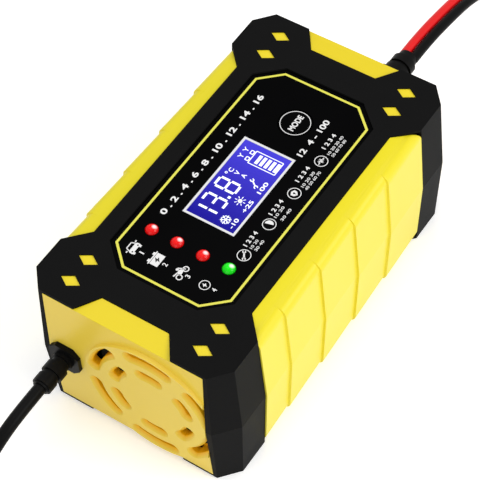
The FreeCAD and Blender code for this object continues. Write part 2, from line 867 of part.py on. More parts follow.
def fan_frame():
    """A square housing with a round duct and a motor seat on struts at the back."""
    y0 = fan_back_y()
    half = fan_size / 2
    block = box(vent_x - half, vent_x + half, y0, y0 + fan_depth, vent_z - half, vent_z + half)
    upright = [e for e in block.Edges if abs(e.tangentAt(0).y) > 0.9]
    block = block.makeFillet(3.0, upright)
    bore = cylinder(fan_bore, (vent_x, y0 - 1, vent_z), (0, 1, 0), fan_depth + 2)
    frame = block.cut(bore)
    seat_y = y0 + fan_depth - fan_motor_thick
    seat = cylinder(fan_motor_radius, (vent_x, seat_y, vent_z), (0, 1, 0), fan_motor_thick)
    strut = box(vent_x, vent_x + fan_bore + 0.5, seat_y, y0 + fan_depth, vent_z - fan_strut / 2,
                vent_z + fan_strut / 2)
    struts = [strut.rotated(vec(vent_x, 0, vent_z), vec(0, 1, 0), 45 + 90 * k) for k in range(4)]
    frame = frame.fuse([seat] + struts)
    post = cylinder(bearing_radius + 1.2, (vent_x, seat_y - bearing_length + fan_motor_thick, vent_z),
                    (0, 1, 0), bearing_length)
    hole = cylinder(bearing_radius, (vent_x, y0, vent_z), (0, 1, 0), fan_depth + 1)
    screws = [cylinder(fan_screw_radius + 0.2, (vent_x + dx * fan_screw_pitch / 2, y0 - 1, vent_z + dz * fan_screw_pitch / 2),
                       (0, 1, 0), fan_depth + 2) for dx in (-1, 1) for dz in (-1, 1)]
    return frame.fuse(post).cut(Part.makeCompound([hole] + screws)).removeSplitter()


def fan_bearing():
    y1 = fan_back_y() + fan_depth
    sleeve = cylinder(bearing_radius, (vent_x, y1 - bearing_length, vent_z), (0, 1, 0), bearing_length)
    return sleeve.cut(cylinder(shaft_radius + shaft_gap, (vent_x, y1 - bearing_length - 1, vent_z),
                            (0, 1, 0), bearing_length + 2))


def fan_rotor():
    """A cup over the bearing post with seven twisted blades."""
    y0 = fan_back_y() + 0.6
    y1 = fan_back_y() + fan_depth - fan_motor_thick - fan_hub_gap
    hub = cylinder(fan_hub, (vent_x, y0, vent_z), (0, 1, 0), y1 - y0)
    hub = hub.cut(cylinder(fan_hub - 1.2, (vent_x, y0 + 1.6, vent_z), (0, 1, 0), fan_depth))
    reach = fan_bore - fan_blade_gap
    blade = box(fan_hub - 0.6, reach + 1, -fan_blade_thick / 2, fan_blade_thick / 2, -7, 7)
    blade = blade.rotated(vec(0, 0, 0), vec(1, 0, 0), fan_blade_tilt)
    blade.rotate(vec(0, 0, 0), vec(1, 0, 0), 90)
    middle = (y0 + y1) / 2
    blade.translate(vec(vent_x, middle, vent_z))
    annulus = cylinder(reach, (vent_x, y0 + 0.3, vent_z), (0, 1, 0), y1 - y0 - 0.6)
    annulus = annulus.cut(cylinder(fan_hub - 0.6, (vent_x, y0, vent_z), (0, 1, 0), fan_depth))
    blade = blade.common(annulus)
    blades = [blade.rotated(vec(vent_x, 0, vent_z), vec(0, 1, 0), 360 / fan_blades * k)
              for k in range(fan_blades)]
    return hub.fuse(blades).removeSplitter()


def fan_shaft():
    y0 = fan_back_y() + 0.6 + 1.6
    y1 = fan_back_y() + fan_depth - shaft_end_gap
    return cylinder(shaft_radius, (vent_x, y0, vent_z), (0, 1, 0), y1 - y0)


def fan_screws():
    """Screws from inside through the housing's corners into the panel's posts."""
    y1 = fan_back_y() + fan_depth
    screws = []
    for dx in (-1, 1):
        for dz in (-1, 1):
            x, z = vent_x + dx * fan_screw_pitch / 2, vent_z + dz * fan_screw_pitch / 2
            shank = cylinder(fan_screw_radius, (x, fan_back_y() - fan_screw_bite, z), (0, 1, 0),
                             fan_depth + fan_screw_bite)
            head = cylinder(2.6, (x, y1, z), (0, 1, 0), 1.6)
            screws.append(shank.fuse(head).removeSplitter())
    return Part.makeCompound(screws)


def gland(x, z, sign, length, ring, ring_start, ring_width, ring_pitch, waist, end):
    """A stepped strain relief on a flange, through the wall, with a barb behind it."""
    face = vent_face_y() if sign < 0 else half_length + mid_bulge
    face = -abs(face) if sign < 0 else abs(face)
    half, cut = gland_flange / 2, gland_flange_cut
    points = [(half, half - cut), (half - cut, half), (cut - half, half), (-half, half - cut),
              (-half, cut - half), (cut - half, -half), (half - cut, -half), (half, cut - half)]
    base = half_length - panel_wall / 2
    flange = Part.Face(polygon([(x + a, sign * base, z + b) for a, b in points]))
    flange = flange.extrude(vec(0, sign * (abs(face) + gland_flange_thick - base - 1.0), 0))
    flange = flange.cut(case_body(-fit_gap).fuse(flange_backing(sign)))
    tip = half_length + length
    start = half_length + mid_bulge + gland_flange_thick
    neck = cylinder(gland_neck, (x, sign * (half_length - gland_root), z), (0, sign, 0),
                    start - half_length + gland_root + gland_collar - 1)
    low = tip - gland_tip_length
    stem = cylinder(waist, (x, sign * (start - 1), z), (0, sign, 0), low - start + 1)
    rings = [cylinder(ring - gland_ring_taper * k, (x, sign * (start + ring_start + ring_pitch * k), z),
                      (0, sign, 0), ring_width) for k in range(2)]
    cone = Part.makeCone(waist, end, gland_tip_length, vec(x, sign * low, z), vec(0, sign, 0))
    barb = cylinder(gland_barb, (x, sign * (half_length - panel_wall - 0.3 - gland_barb_thick), z), (0, sign, 0),
                    gland_barb_thick)
    return flange.fuse([neck, stem, cone, barb] + rings).removeSplitter()


def mains_gland():
    return gland(mains_gland_x, mains_gland_z, -1, mains_gland_length, mains_ring, mains_ring_start,
                 mains_ring_width, mains_ring_pitch, mains_waist, mains_tip)


def output_gland():
    return gland(output_gland_x, output_gland_z, 1, output_gland_length, output_ring, output_ring_start,
                 output_ring_width, output_ring_pitch, output_waist, output_tip)


def flange_backing(sign):
    """The flat grille disc that the near gland's flange has to clear."""
    if sign > 0:
        return box(-1, 1, -1, 1, 0, 1)
    return cylinder(vent_disc_radius + fit_gap, (vent_x, vent_face_y() - fit_gap, vent_z), (0, 1, 0), 6)


def arc_mid(start, tangent, end):
    """The middle of the arc that leaves start along tangent and ends at end."""
    chord = end - start
    angle = tangent.getAngle(chord)
    if angle < 1e-5:
        return None
    along = vec(*chord).normalize()
    aside = (tangent - along * tangent.dot(along)).normalize()
    return (start + end) * 0.5 + aside * (chord.Length / 2 * math.tan(angle / 2))


def arc_edge(start, tangent, end):
    middle = arc_mid(start, tangent, end)
    if middle is None:
        return Part.LineSegment(start, end).toShape()
    return Part.Arc(start, middle, end).toShape()


def biarc(p0, t0, p1, t1):
    """Two arcs that meet smoothly between two points with given directions."""
    v, t = p1 - p0, t0 + t1
    turn = 2 * (1 - t0.dot(t1))
    if turn < 1e-9:
        reach = v.dot(v) / (4 * v.dot(t1))
    else:
        reach = (-v.dot(t) + math.sqrt(v.dot(t) ** 2 + turn * v.dot(v))) / turn
    joint = (p0 + p1 + (t0 - t1) * reach) * 0.5
    first = arc_edge(p0, t0, joint)
    last = arc_edge(p1, t1 * -1, joint)
    return [first, last]


def coil_knots(centre, radius, pitch, rise, turns_in, turns_out, first_angle, low):
    """Quarter-turn points and directions of a coil that spirals in, climbs and spirals out."""
    knots = []
    quarters = round(4 * (turns_in + turns_out))
    for k in range(quarters + 1):
        turn = k / 4
        angle = first_angle + 2 * math.pi * turn
        sign = -1 if turn < turns_in else 1
        r = radius - pitch * turns_in + pitch * abs(turn - turns_in)
        share = min(1.0, max(0.0, (turn - turns_in + 0.25) / 0.5))
        z = low + rise * (1 - math.cos(math.pi * share)) / 2
        slope = rise * math.pi * math.sin(math.pi * share) / 2 / math.pi
        flat = k in (0, quarters) or abs(turn - turns_in) < 1e-6
        drift = 0.0 if flat else sign * pitch / (2 * math.pi)
        place = vec(centre[0] + r * math.cos(angle), centre[1] + r * math.sin(angle), z)
        way = vec(-r * math.sin(angle) + drift * math.cos(angle), r * math.cos(angle) + drift * math.sin(angle),
                  slope)
        knots.append((place, way.normalize()))
    return knots


def knot_path(knots, lead_in, lead_out):
    """Biarcs through the knots, with a straight length at each end."""
    first, way = knots[0]
    edges = [Part.LineSegment(first - way * lead_in, first).toShape()]
    for (p0, t0), (p1, t1) in zip(knots, knots[1:]):
        edges += biarc(p0, t0, p1, t1)
    last, way = knots[-1]
    edges.append(Part.LineSegment(last, last + way * lead_out).toShape())
    start, way = knots[0][0] - knots[0][1] * lead_in, knots[0][1]
    return Part.Wire(edges), start, way


def tube(wire, start, way, radius):
    ring = Part.Wire(Part.Circle(start, way, radius).toShape())
    return Part.Wire(wire).makePipeShell([ring], True, False)


def least_gap(wire, diameter):
    """The smallest gap between two stretches of a path that aren't neighbours."""
    count = int(wire.Length / (diameter / 4))
    points = wire.discretize(count)
    step = wire.Length / (count - 1)
    apart = int(3.2 * diameter / step)
    least = 1e9
    for i, p in enumerate(points):
        for q in points[i + apart::2]:
            least = min(least, (p - q).Length)
    return least - diameter


def route_tube(name, route, diameter):
    """A tube on straight runs joined by arcs as large as the runs allow."""
    points = [vec(*p) for p in route]
    radii = []
    for before, point, after in zip(points, points[1:], points[2:]):
        turn = math.pi - (before - point).getAngle(after - point)
        run = min((before - point).Length, (after - point).Length)
        radii.append(0.45 * run / math.tan(turn / 2))
    wire = Part.Wire(rounded_path(points, radii))
    shape = tube(wire, points[0], (points[1] - points[0]).normalize(), diameter / 2)
    volume = math.pi * diameter ** 2 / 4 * wire.Length
    print(name, "radii", [round(r, 1) for r in radii], "length", round(wire.Length, 1),
          "volume", round(shape.Volume, 1), "section times length", round(volume, 1))
    return shape


def coil_tube(name, knots, diameter):
    wire, start, way = knot_path(knots, diameter, diameter)
    shape = tube(wire, start, way, diameter / 2)
    volume = math.pi * diameter ** 2 / 4 * wire.Length
    print(name, "least gap", round(least_gap(wire, diameter), 2), "length", round(wire.Length, 1),
          "volume", round(shape.Volume, 1), "section times length", round(volume, 1))
    return shape


def mains_knots():
    centre = (mains_coil_x, mains_coil_y)
    knots = coil_knots(centre, mains_coil_radius, mains_step, mains_step, mains_turns_in, mains_turns_out,
                       math.pi, mains_diameter / 2)
    last = knots[-1][0]
    way = vec(0, -1, 0)
    crossing = last + way * (mains_tail - 3 * mains_diameter / 2)
    end = vec(last.x, mains_coil_y - mains_tail + mains_diameter, plug_floor_gap + plug_thick / 2)
    return knots + [(crossing, way), (end, way)]


def mains_route():
    """Out of the gland, down to the floor and into the coil, from the photo's first stretch on."""
    entry_x = mains_coil_x - mains_coil_radius
    floor = mains_diameter / 2
    return [(mains_gland_x, -half_length - mains_gland_length, mains_gland_z),
            (mains_gland_x, -105.2, mains_gland_z),
            (-26.8, -115.2, 31.3),
            (-27.9, -124.2, 26.0),
            (-29.6, -132.2, 18.0),
            (-31.2, -140.2, 10.2),
            (-32.4, -149.2, 4.8),
            (entry_x, -159.2, floor),
            (entry_x, mains_coil_y + mains_diameter, floor)]


def lead_knots(entry_x, start_radius):
    """One wire of the double coil, then its loop back to the clamp that lies on the coil."""
    centre = (lead_coil_x, lead_coil_y)
    knots = coil_knots(centre, start_radius, 2 * turn_step, turn_step, lead_turns_in, lead_turns_out,
                       0.0, lead_diameter / 2)
    last = knots[-1][0]
    end_y = lead_coil_y + clamp_handle_y + clamp_entry_length + lead_diameter
    end = vec(entry_x, end_y, clamp_axis_z)
    radius = (last.x - entry_x) / 2
    apex = vec((last.x + entry_x) / 2, end_y + radius * 0.9, (last.z + clamp_axis_z) / 2)
    climb = (clamp_axis_z - last.z) / (math.pi * radius) * 1.2
    leave = vec(last.x, end_y - radius * 0.4, last.z)
    return knots + [(leave, vec(0, 1, 0)), (apex, vec(-1, 0, climb).normalize()), (end, vec(0, -1, 0))]


def lead_route(side, entry_x):
    """side is -1 for the wire at the left of the pair and 1 for the one at the right."""
    x0 = output_gland_x + side * (lead_diameter + lead_exit_gap) / 2
    shift = entry_x - x0
    floor = lead_diameter / 2
    z0 = output_gland_z
    shares = [(0.0, half_length + output_gland_length, z0), (0.0, 104.0, z0), (0.14, 118.0, z0 - 0.2),
              (0.28, 133.5, z0 - 1.8), (0.46, 149.5, 46.5), (0.66, 165.0, 34.5), (0.84, 177.0, 20.5),
              (0.96, 187.5, 8.8), (1.0, 202.5, floor), (1.0, lead_coil_y - lead_diameter, floor)]
    return [(x0 + shift * share, y, z) for share, y, z in shares]


def red_entry():
    return lead_coil_x + lead_coil_radius


def black_entry():
    return red_entry() + turn_step


def plug_axis_x():
    return mains_coil_x - mains_coil_radius + mains_step * (mains_turns_in - mains_turns_out)


def plug_section(y, half, thick):
    """A rounded rectangle across the plug."""
    corner = plug_corner * thick / plug_thick
    block = box(-half, half, y, y + 1, -thick, thick)
    block = block.makeFillet(corner, [e for e in block.Edges if abs(e.tangentAt(0).y) > 0.9])
    face = min(block.Faces, key=lambda f: f.CenterOfMass.y)
    wire = face.OuterWire
    wire.translate(vec(plug_axis_x(), 0, plug_floor_gap + plug_thick / 2))
    return wire


def mains_plug():
    """A moulded plug body with a tapered, ribbed sleeve for the lead."""
    x, z = plug_axis_x(), plug_floor_gap + plug_thick / 2
    y0 = mains_coil_y - mains_tail
    y1 = y0 - plug_relief
    y2 = y1 - plug_length
    sleeve = Part.makeCone(mains_diameter / 2 + 0.8, mains_diameter / 2 + 1.9, plug_relief, vec(x, y0, z),
                           vec(0, -1, 0))
    ribs = [cylinder(mains_diameter / 2 + 1.5 + 0.25 * k, (x, y0 - 3 - 3.6 * k, z), (0, -1, 0), 2.0)
            for k in range(4)]
    wide, thick = plug_width / 2, plug_thick / 2
    middle = y1 - plug_length * 0.55
    body = Part.makeLoft([plug_section(y1, wide * 0.5, thick * 0.75), plug_section(middle, wide, thick),
                          plug_section(y2, wide, thick)], True, True)
    body = body.fuse([sleeve] + ribs).removeSplitter()
    slots = [box(x + s * blade_pitch / 2 - blade_thick / 2, x + s * blade_pitch / 2 + blade_thick / 2,
                 y2 - 1, y2 + blade_seat, z - blade_width / 2, z + blade_width / 2) for s in (-1, 1)]
    return body.cut(Part.makeCompound(slots))


def plug_blades():
    x, z = plug_axis_x(), plug_floor_gap + plug_thick / 2
    face = mains_coil_y - mains_tail - plug_relief - plug_length
    blades = []
    for s in (-1, 1):
        middle = x + s * blade_pitch / 2
        blade = box(middle - blade_thick / 2, middle + blade_thick / 2, face - blade_length,
                    face + blade_seat, z - blade_width / 2, z + blade_width / 2)
        hole = cylinder(1.5, (middle - 3, face - blade_length + 4, z), (1, 0, 0), 6)
        tip = [e for e in blade.Edges if abs(e.CenterOfMass.y - face + blade_length) < 0.01
               and abs(e.tangentAt(0).x) > 0.9]
        blades.append(blade.makeFillet(2.0, tip).cut(hole))
    return Part.makeCompound(blades)


def half_outline():
    """One half of a clamp in plan, jaw to the right, on the +Y side of the pin."""
    return [(clamp_jaw - 0.8, 0.25), (clamp_jaw, 0.7), (clamp_jaw - 0.6, 3.0), (clamp_jaw - 6, 5.2), (18, 7.4),
            (8, 7.8), (0, 7.2), (-7, 8.2), (-16, 11.2), (-clamp_handle, 14.6 - clamp_grip_wall),
            (-clamp_handle, 8.0 + clamp_grip_wall), (-15, 5.6), (-6, 3.4), (6, 3.4), (11, 4.6), (16, 4.4),
            (20, 2.4), (21.5, 0.25)]


def teeth():
    """Notches along the jaw's biting edge."""
    cuts = []
    pitch = 2.4
    for k in range(5):
        u = 22.3 + pitch * k
        cuts.append(prism([(u, -0.1), (u + pitch * 0.8, -0.1), (u + pitch * 0.4, 1.1)], -20, 20))
    return Part.makeCompound(cuts)


def jaw_half(outer_gap):
    """A folded sheet channel: two side plates with an ear at the pin, and a web outside."""
    t0, t1 = outer_gap, clamp_thick - outer_gap
    block = prism(half_outline(), t0, t1)
    shifted = block.translated(vec(0, -clamp_sheet, 0))
    web = block.cut(shifted)
    low, high = prism(half_outline(), t0, t0 + clamp_sheet), prism(half_outline(), t1 - clamp_sheet, t1)
    ears = [cylinder(clamp_ear, (0, 0, t), (0, 0, 1), clamp_sheet) for t in (t0, t1 - clamp_sheet)]
    bridge = [(-4.2, 0), (4.2, 0), (5.0, 5.0), (-5.0, 5.0)]
    bridges = [prism(bridge, t, t + clamp_sheet) for t in (t0, t1 - clamp_sheet)]
    keep_web = web.common(box(-2 * clamp_handle, 2 * clamp_jaw, clamp_web_start, clamp_jaw, 0, clamp_thick))
    half = low.fuse([high, keep_web] + ears + bridges)
    return half.cut(teeth())


def clamp_outer_gap(moving):
    return clamp_grip_wall + ((clamp_sheet + clamp_side_gap) if moving else 0.0)


def jaw(moving):
    half = jaw_half(clamp_outer_gap(moving))
    hole = clamp_pin_radius + (clamp_pin_gap if moving else 0.0)
    return half.cut(cylinder(hole, (0, 0, -1), (0, 0, 1), clamp_thick + 2)).removeSplitter()


def grip(moving):
    """A plastic sleeve over the handle, with finger ribs on its outer side."""
    outline = [(-9.5, 3.6), (-9.5, 11.2), (-12, 12.4), (-17, 13.0), (-clamp_handle + 1, 15.0),
               (-clamp_handle - 1.2, 14.2), (-clamp_handle - 1.2, 8.2), (-clamp_handle + 2, 7.2), (-16, 4.6)]
    body = prism(outline, 0, clamp_thick)
    edges = [e for e in body.Edges if abs(e.tangentAt(0).z) < 0.1 and e.CenterOfMass.y > 11.0]
    body = body.makeFillet(1.0, edges)
    ribs = [box(u, u + 1.0, 9, 20, -1, 0.5) for u in (-25, -22.5, -20)]
    ribs += [box(u, u + 1.0, 9, 20, clamp_thick - 0.5, clamp_thick + 1) for u in (-25, -22.5, -20)]
    gap = clamp_outer_gap(moving)
    inside = prism(half_outline(), gap - 0.02, clamp_thick - gap + 0.02)
    inside = inside.common(box(-clamp_handle, 0, 0, 30, 0, clamp_thick))
    return body.cut(Part.makeCompound([inside] + ribs)).removeSplitter()


def clamp_spring_shape(name):
    """A torsion spring round the pin, with a leg towards each handle."""
    pitch = spring_wire + spring_gap
    splay = math.radians(spring_splay)
    first, last = -math.pi / 2 - splay, math.pi * (2 * spring_turns + 0.5) - splay
    count = 4 * spring_turns + 3
    low = (clamp_thick - pitch * (spring_turns + 0.5)) / 2
    knots = []
    for k in range(count + 1):
        angle = first + (last - first) * k / count
        z = low + pitch * (spring_turns + 0.5) * k / count
        slope = 0.0 if k in (0, count) else pitch / (2 * math.pi * spring_radius)
        way = vec(-math.sin(angle), math.cos(angle), slope).normalize()
        knots.append((vec(spring_radius * math.cos(angle), spring_radius * math.sin(angle), z), way))
    wire, start, way = knot_path(knots, spring_leg, spring_leg)
    print(name, "least gap", round(least_gap(wire, spring_wire), 2), "length", round(wire.Length, 1))
    return tube(wire, start, way, spring_wire / 2)


def place_clamp(shape, centre_x, side):
    """Jaw towards the case; side 1 has its moving half to the right, -1 to the left."""
    placed = shape.rotated(vec(0, 0, 0), vec(0, 0, 1), -90)
    if side < 0:
        placed = flip_x(placed)
    pin_y = lead_coil_y + clamp_handle_y - clamp_handle - 1.2
    return placed.translated(vec(lead_coil_x + centre_x, pin_y, clamp_floor))


def mirror_half(shape):
    return shape.mirror(vec(0, 0, 0), vec(0, 1, 0))


def base_grip():
    """The fixed handle's sleeve, with the collar where the wire goes in."""
    body = mirror_half(grip(False))
    collar = cylinder(clamp_entry_radius, (-clamp_handle - 0.8, -clamp_entry, clamp_thick / 2), (-1, 0, 0),
                      clamp_entry_length + 0.4)
    return body.fuse(collar).removeSplitter()


def clamp_pin():
    shank = cylinder(clamp_pin_radius, (0, 0, 0.3), (0, 0, 1), clamp_thick - 0.6)
    low = cylinder(clamp_pin_head, (0, 0, clamp_grip_wall - clamp_pin_head_thick), (0, 0, 1),
                   clamp_pin_head_thick)
    high = low.mirror(vec(0, 0, clamp_thick / 2), vec(0, 0, 1))
    shank = shank.common(cylinder(clamp_pin_head, (0, 0, clamp_grip_wall - clamp_pin_head_thick), (0, 0, 1),
                                  clamp_thick - 2 * (clamp_grip_wall - clamp_pin_head_thick)))
    return shank.fuse([low, high]).removeSplitter()


parts = {
    "top_frame": top_frame(),
    "bottom_frame": bottom_frame(),
    "side_panel_right": side_panel(),
    "side_panel_left": flip_x(side_panel()),
    "end_panel_near": end_panel_near(),
    "end_panel_far": end_panel_far(),
    "corner_inlays": corner_inlays(),
    "display_panel": display_panel(),
    "panel_border": panel_border(),
    "lcd_bezel": lcd_bezel(),
    "lcd_glass": lcd_glass(),
    "lcd_backlight": lcd_backlight(),
    "red_led_lenses": red_led_lenses(),
    "green_led_lens": green_led_lens(),
    "mode_button": mode_button(),
    "switch_plunger": switch_plunger(),
    "tact_switch": tact_switch(),
    "display_board": display_board(),
    "display_board_screws": display_board_screws(),
    "main_board": main_board(),
    "main_board_screws": main_board_screws(),
    "case_screws": case_screws(),
    "transformer_core": transformer_core(),
    "transformer_bobbin": transformer_bobbin(),
    "transformer_winding": transformer_winding(),
    "input_capacitor": input_capacitor(),
    "output_capacitors": output_capacitors(),
    "heat_sink": heat_sink(),
    "power_transistors": power_transistors(),
    "output_choke": output_choke(),
    "mains_fuse": mains_fuse(),
    "polarity_relay": polarity_relay(),
    "board_ribbon": board_ribbon(),
    "fan_frame": fan_frame(),
    "fan_bearing": fan_bearing(),
    "fan_rotor": fan_rotor(),
    "fan_shaft": fan_shaft(),
    "fan_screws": fan_screws(),
    "mains_gland": mains_gland(),
    "output_gland": output_gland(),
    "mains_cord": route_tube("mains_cord", mains_route(), mains_diameter),
    "mains_coil": coil_tube("mains_coil", mains_knots(), mains_diameter),
    "mains_plug": mains_plug(),
    "plug_blades": plug_blades(),
    "red_lead": route_tube("red_lead", lead_route(-1, red_entry()), lead_diameter),
    "black_lead": route_tube("black_lead", lead_route(1, black_entry()), lead_diameter),
    "red_coil": coil_tube("red_coil", lead_knots(lead_coil_x + clamp_red_x - clamp_entry, lead_coil_radius),
                          lead_diameter),
    "black_coil": coil_tube("black_coil", lead_knots(lead_coil_x + clamp_black_x + clamp_entry,
                                                     lead_coil_radius + turn_step), lead_diameter),
}
for colour, centre_x, side in (("red", clamp_red_x, 1), ("black", clamp_black_x, -1)):
    parts[colour + "_base_grip"] = place_clamp(base_grip(), centre_x, side)
    parts[colour + "_base_jaw"] = place_clamp(mirror_half(jaw(False)), centre_x, side)
    parts[colour + "_moving_grip"] = place_clamp(grip(True), centre_x, side)
    parts[colour + "_moving_jaw"] = place_clamp(jaw(True), centre_x, side)
    parts[colour + "_clamp_pin"] = place_clamp(clamp_pin(), centre_x, side)
    spring = colour + "_clamp_spring"
    parts[spring] = place_clamp(clamp_spring_shape(spring), centre_x, side)

os.makedirs("parts", exist_ok=True)
for node, shape in parts.items():
    shape.exportStep(f"parts/{node}.step")
    size = shape.BoundBox
    print(node, len(shape.Solids), "valid" if shape.isValid() else "INVALID", round(shape.Volume),
          [round(v, 1) for v in (size.XMin, size.XMax, size.YMin, size.YMax, size.ZMin, size.ZMax)])
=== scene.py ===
import bpy
import bmesh
import math
from mathutils import Matrix, Vector


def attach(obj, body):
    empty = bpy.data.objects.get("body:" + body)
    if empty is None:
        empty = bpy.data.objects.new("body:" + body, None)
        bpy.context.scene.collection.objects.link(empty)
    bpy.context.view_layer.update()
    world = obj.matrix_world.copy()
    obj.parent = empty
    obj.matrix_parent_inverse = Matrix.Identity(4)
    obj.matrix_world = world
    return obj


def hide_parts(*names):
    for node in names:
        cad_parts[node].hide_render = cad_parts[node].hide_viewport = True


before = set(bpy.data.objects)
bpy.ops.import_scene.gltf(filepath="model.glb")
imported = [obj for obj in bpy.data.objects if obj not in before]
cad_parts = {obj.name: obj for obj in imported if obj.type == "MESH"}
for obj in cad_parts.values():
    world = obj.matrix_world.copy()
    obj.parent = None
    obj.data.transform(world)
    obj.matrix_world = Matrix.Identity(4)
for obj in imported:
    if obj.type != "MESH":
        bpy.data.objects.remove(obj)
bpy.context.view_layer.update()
mm = 0.001
collection = bpy.context.scene.collection


# camera: the photograph's angle, on a long lens
cameraView = {
    "place": (0.2578605, -0.3479062, 0.6032309),
    "right": (0.8332998, 0.5509117, -0.0459104),
    "up": (-0.4167346, 0.6805660, 0.6026295),
    "back": (0.3632407, -0.4830386, 0.7966994),
    "lens": 142.8555,
}


def makeCamera():
    data = bpy.data.cameras.new("photoCamera")
    data.lens = cameraView["lens"]
    data.sensor_width = 36.0
    data.clip_start = 0.05
    data.clip_end = 20.0
    camera = bpy.data.objects.new("photoCamera", data)
    turn = Matrix([cameraView["right"], cameraView["up"], cameraView["back"]]).transposed().to_4x4()
    camera.matrix_world = Matrix.Translation(cameraView["place"]) @ turn
    collection.objects.link(camera)
    bpy.context.scene.camera = camera


makeCamera()
print("camera ready")


# cords: listed route points in millimetres, then the put-away turns
mainsLead = {
    "diameter": 5.0,
    "route": [(-26.4, -94.8, 33.2), (-26.4, -105.2, 33.2), (-26.8, -115.2, 31.3), (-27.9, -124.2, 26.0),
              (-29.6, -132.2, 18.0), (-31.2, -140.2, 10.2), (-32.4, -149.2, 4.8), (-33.0, -159.2, 2.5),
              (-33.0, -167.5, 2.5)],
    "centre": (3.0, -172.5), "radius": 36.0, "pitch": 5.6, "rise": 5.6,
    "turnsIn": 2.5, "turnsOut": 1.5, "firstAngle": math.pi, "low": 2.5,
    "tail": [(-27.4, -187.5, 8.1), (-27.4, -202.5, 8.1)],
}
outputLeads = {
    "diameter": 4.0,
    "gap": 0.2,
    "gland": (14.5, 54.5),
    "shares": [(0.0, 93.0, 54.5), (0.0, 104.0, 54.5), (0.14, 118.0, 54.3), (0.28, 133.5, 52.7),
               (0.46, 149.5, 46.5), (0.66, 165.0, 34.5), (0.84, 177.0, 20.5), (0.96, 187.5, 8.8),
               (1.0, 202.5, 2.0), (1.0, 218.0, 2.0)],
    "centre": (-8.0, 222.0), "pitch": 9.2, "rise": 4.6, "turnsIn": 1.5, "turnsOut": 1.5, "low": 2.0,
    "clampY": 260.0, "clampZ": 15.9, "clampReach": 4.0,
    # the last bend up to the clamp: across and along in half widths, and its share of the climb
    "bend": [(1.0, -0.42, 0.0), (0.98, 0.36, 0.06), (0.62, 0.78, 0.26), (0.0, 0.89, 0.5),
             (-0.62, 0.78, 0.74), (-0.98, 0.38, 0.94), (-1.0, -0.1, 1.0)],
    "red": {"side": -1, "radius": 27.4, "end": -4.6},
    "black": {"side": 1, "radius": 32.0, "end": -17.0},
}
cordMaking = {
    "turnPoints": 24,
    "climbTurns": 0.5,
    "pointSize": 0.002,    # small points keep the cords' boxes tight; the bevel makes up for it
    "order": 3,
    "steps": 6,
    "roundness": 5,
}


def windingPoints(setup, radius, firstAngle):
    # two layers: the turns close in, climb over half a turn and open out again
    turnsIn, turnsOut = setup["turnsIn"], setup["turnsOut"]
    turnPoints, climb = cordMaking["turnPoints"], cordMaking["climbTurns"]
    points = []
    for step in range(round(turnPoints * (turnsIn + turnsOut)) + 1):
        turn = step / turnPoints
        angle = firstAngle + 2 * math.pi * turn
        reach = radius - setup["pitch"] * (turnsIn - abs(turn - turnsIn))
        share = min(1.0, max(0.0, (turn - turnsIn + climb / 2) / climb))
        height = setup["low"] + setup["rise"] * (1 - math.cos(math.pi * share)) / 2
        x, y = setup["centre"]
        points.append((x + reach * math.cos(angle), y + reach * math.sin(angle), height))
    return points


def cordCurve(name, points, diameter):
    data = bpy.data.curves.new(name, "CURVE")
    data.dimensions = "3D"
    spline = data.splines.new("NURBS")
    spline.points.add(len(points) - 1)
    for point, place in zip(spline.points, points):
        point.co = (place[0] * mm, place[1] * mm, place[2] * mm, 1.0)
        point.radius = cordMaking["pointSize"]
    spline.order_u = cordMaking["order"]
    spline.use_endpoint_u = True
    data.resolution_u = cordMaking["steps"]
    data.bevel_depth = diameter * mm / 2 / cordMaking["pointSize"]
    data.bevel_resolution = cordMaking["roundness"]
    data.use_fill_caps = True
    curve = bpy.data.objects.new(name, data)
    collection.objects.link(curve)
    return curve


def lengthOf(curve):
    depth = curve.data.bevel_depth
    curve.data.bevel_depth = 0.0
    line = bpy.data.meshes.new_from_object(curve.evaluated_get(bpy.context.evaluated_depsgraph_get()))
    curve.data.bevel_depth = depth
    places = [v.co.copy() for v in line.vertices]
    bpy.data.meshes.remove(line)
    return sum((b - a).length for a, b in zip(places, places[1:]))


def leadPoints(colour):
    setup, wire = outputLeads, outputLeads[colour]
    x0 = setup["gland"][0] + wire["side"] * (setup["diameter"] + setup["gap"]) / 2
    x1 = setup["centre"][0] + wire["radius"]
    points = [(x0 + (x1 - x0) * share, y, z) for share, y, z in setup["shares"]]
    points += windingPoints(setup, wire["radius"], 0.0)
    low, high, end, clampY = points[-1][2], setup["clampZ"], wire["end"], setup["clampY"]
    half = (x1 - end) / 2
    points.append((x1, (setup["centre"][1] + clampY) / 2, low))
    for across, along, share in setup["bend"]:
        points.append((x1 - half + half * across, clampY + half * along, low + (high - low) * share))
    points.append((end, clampY - setup["clampReach"], high))
    return points


mainsTurns = windingPoints(mainsLead, mainsLead["radius"], mainsLead["firstAngle"])
mainsCord = cordCurve("mainsCord", mainsLead["route"] + mainsTurns + mainsLead["tail"],
                      mainsLead["diameter"])
redCord = cordCurve("redCord", leadPoints("red"), outputLeads["diameter"])
blackCord = cordCurve("blackCord", leadPoints("black"), outputLeads["diameter"])


# moulded shells: the edges that the mould leaves a little round, in millimetres
easedEdges = {
    "weld": 0.002,
    "flatWithin": 0.6,
    "sharperThan": 28,
    "segments": 2,
    "widths": {"top_frame": 0.3, "bottom_frame": 0.3, "end_panel_near": 0.25, "end_panel_far": 0.25,
               "side_panel_left": 0.25, "side_panel_right": 0.25, "mains_plug": 0.4},
}


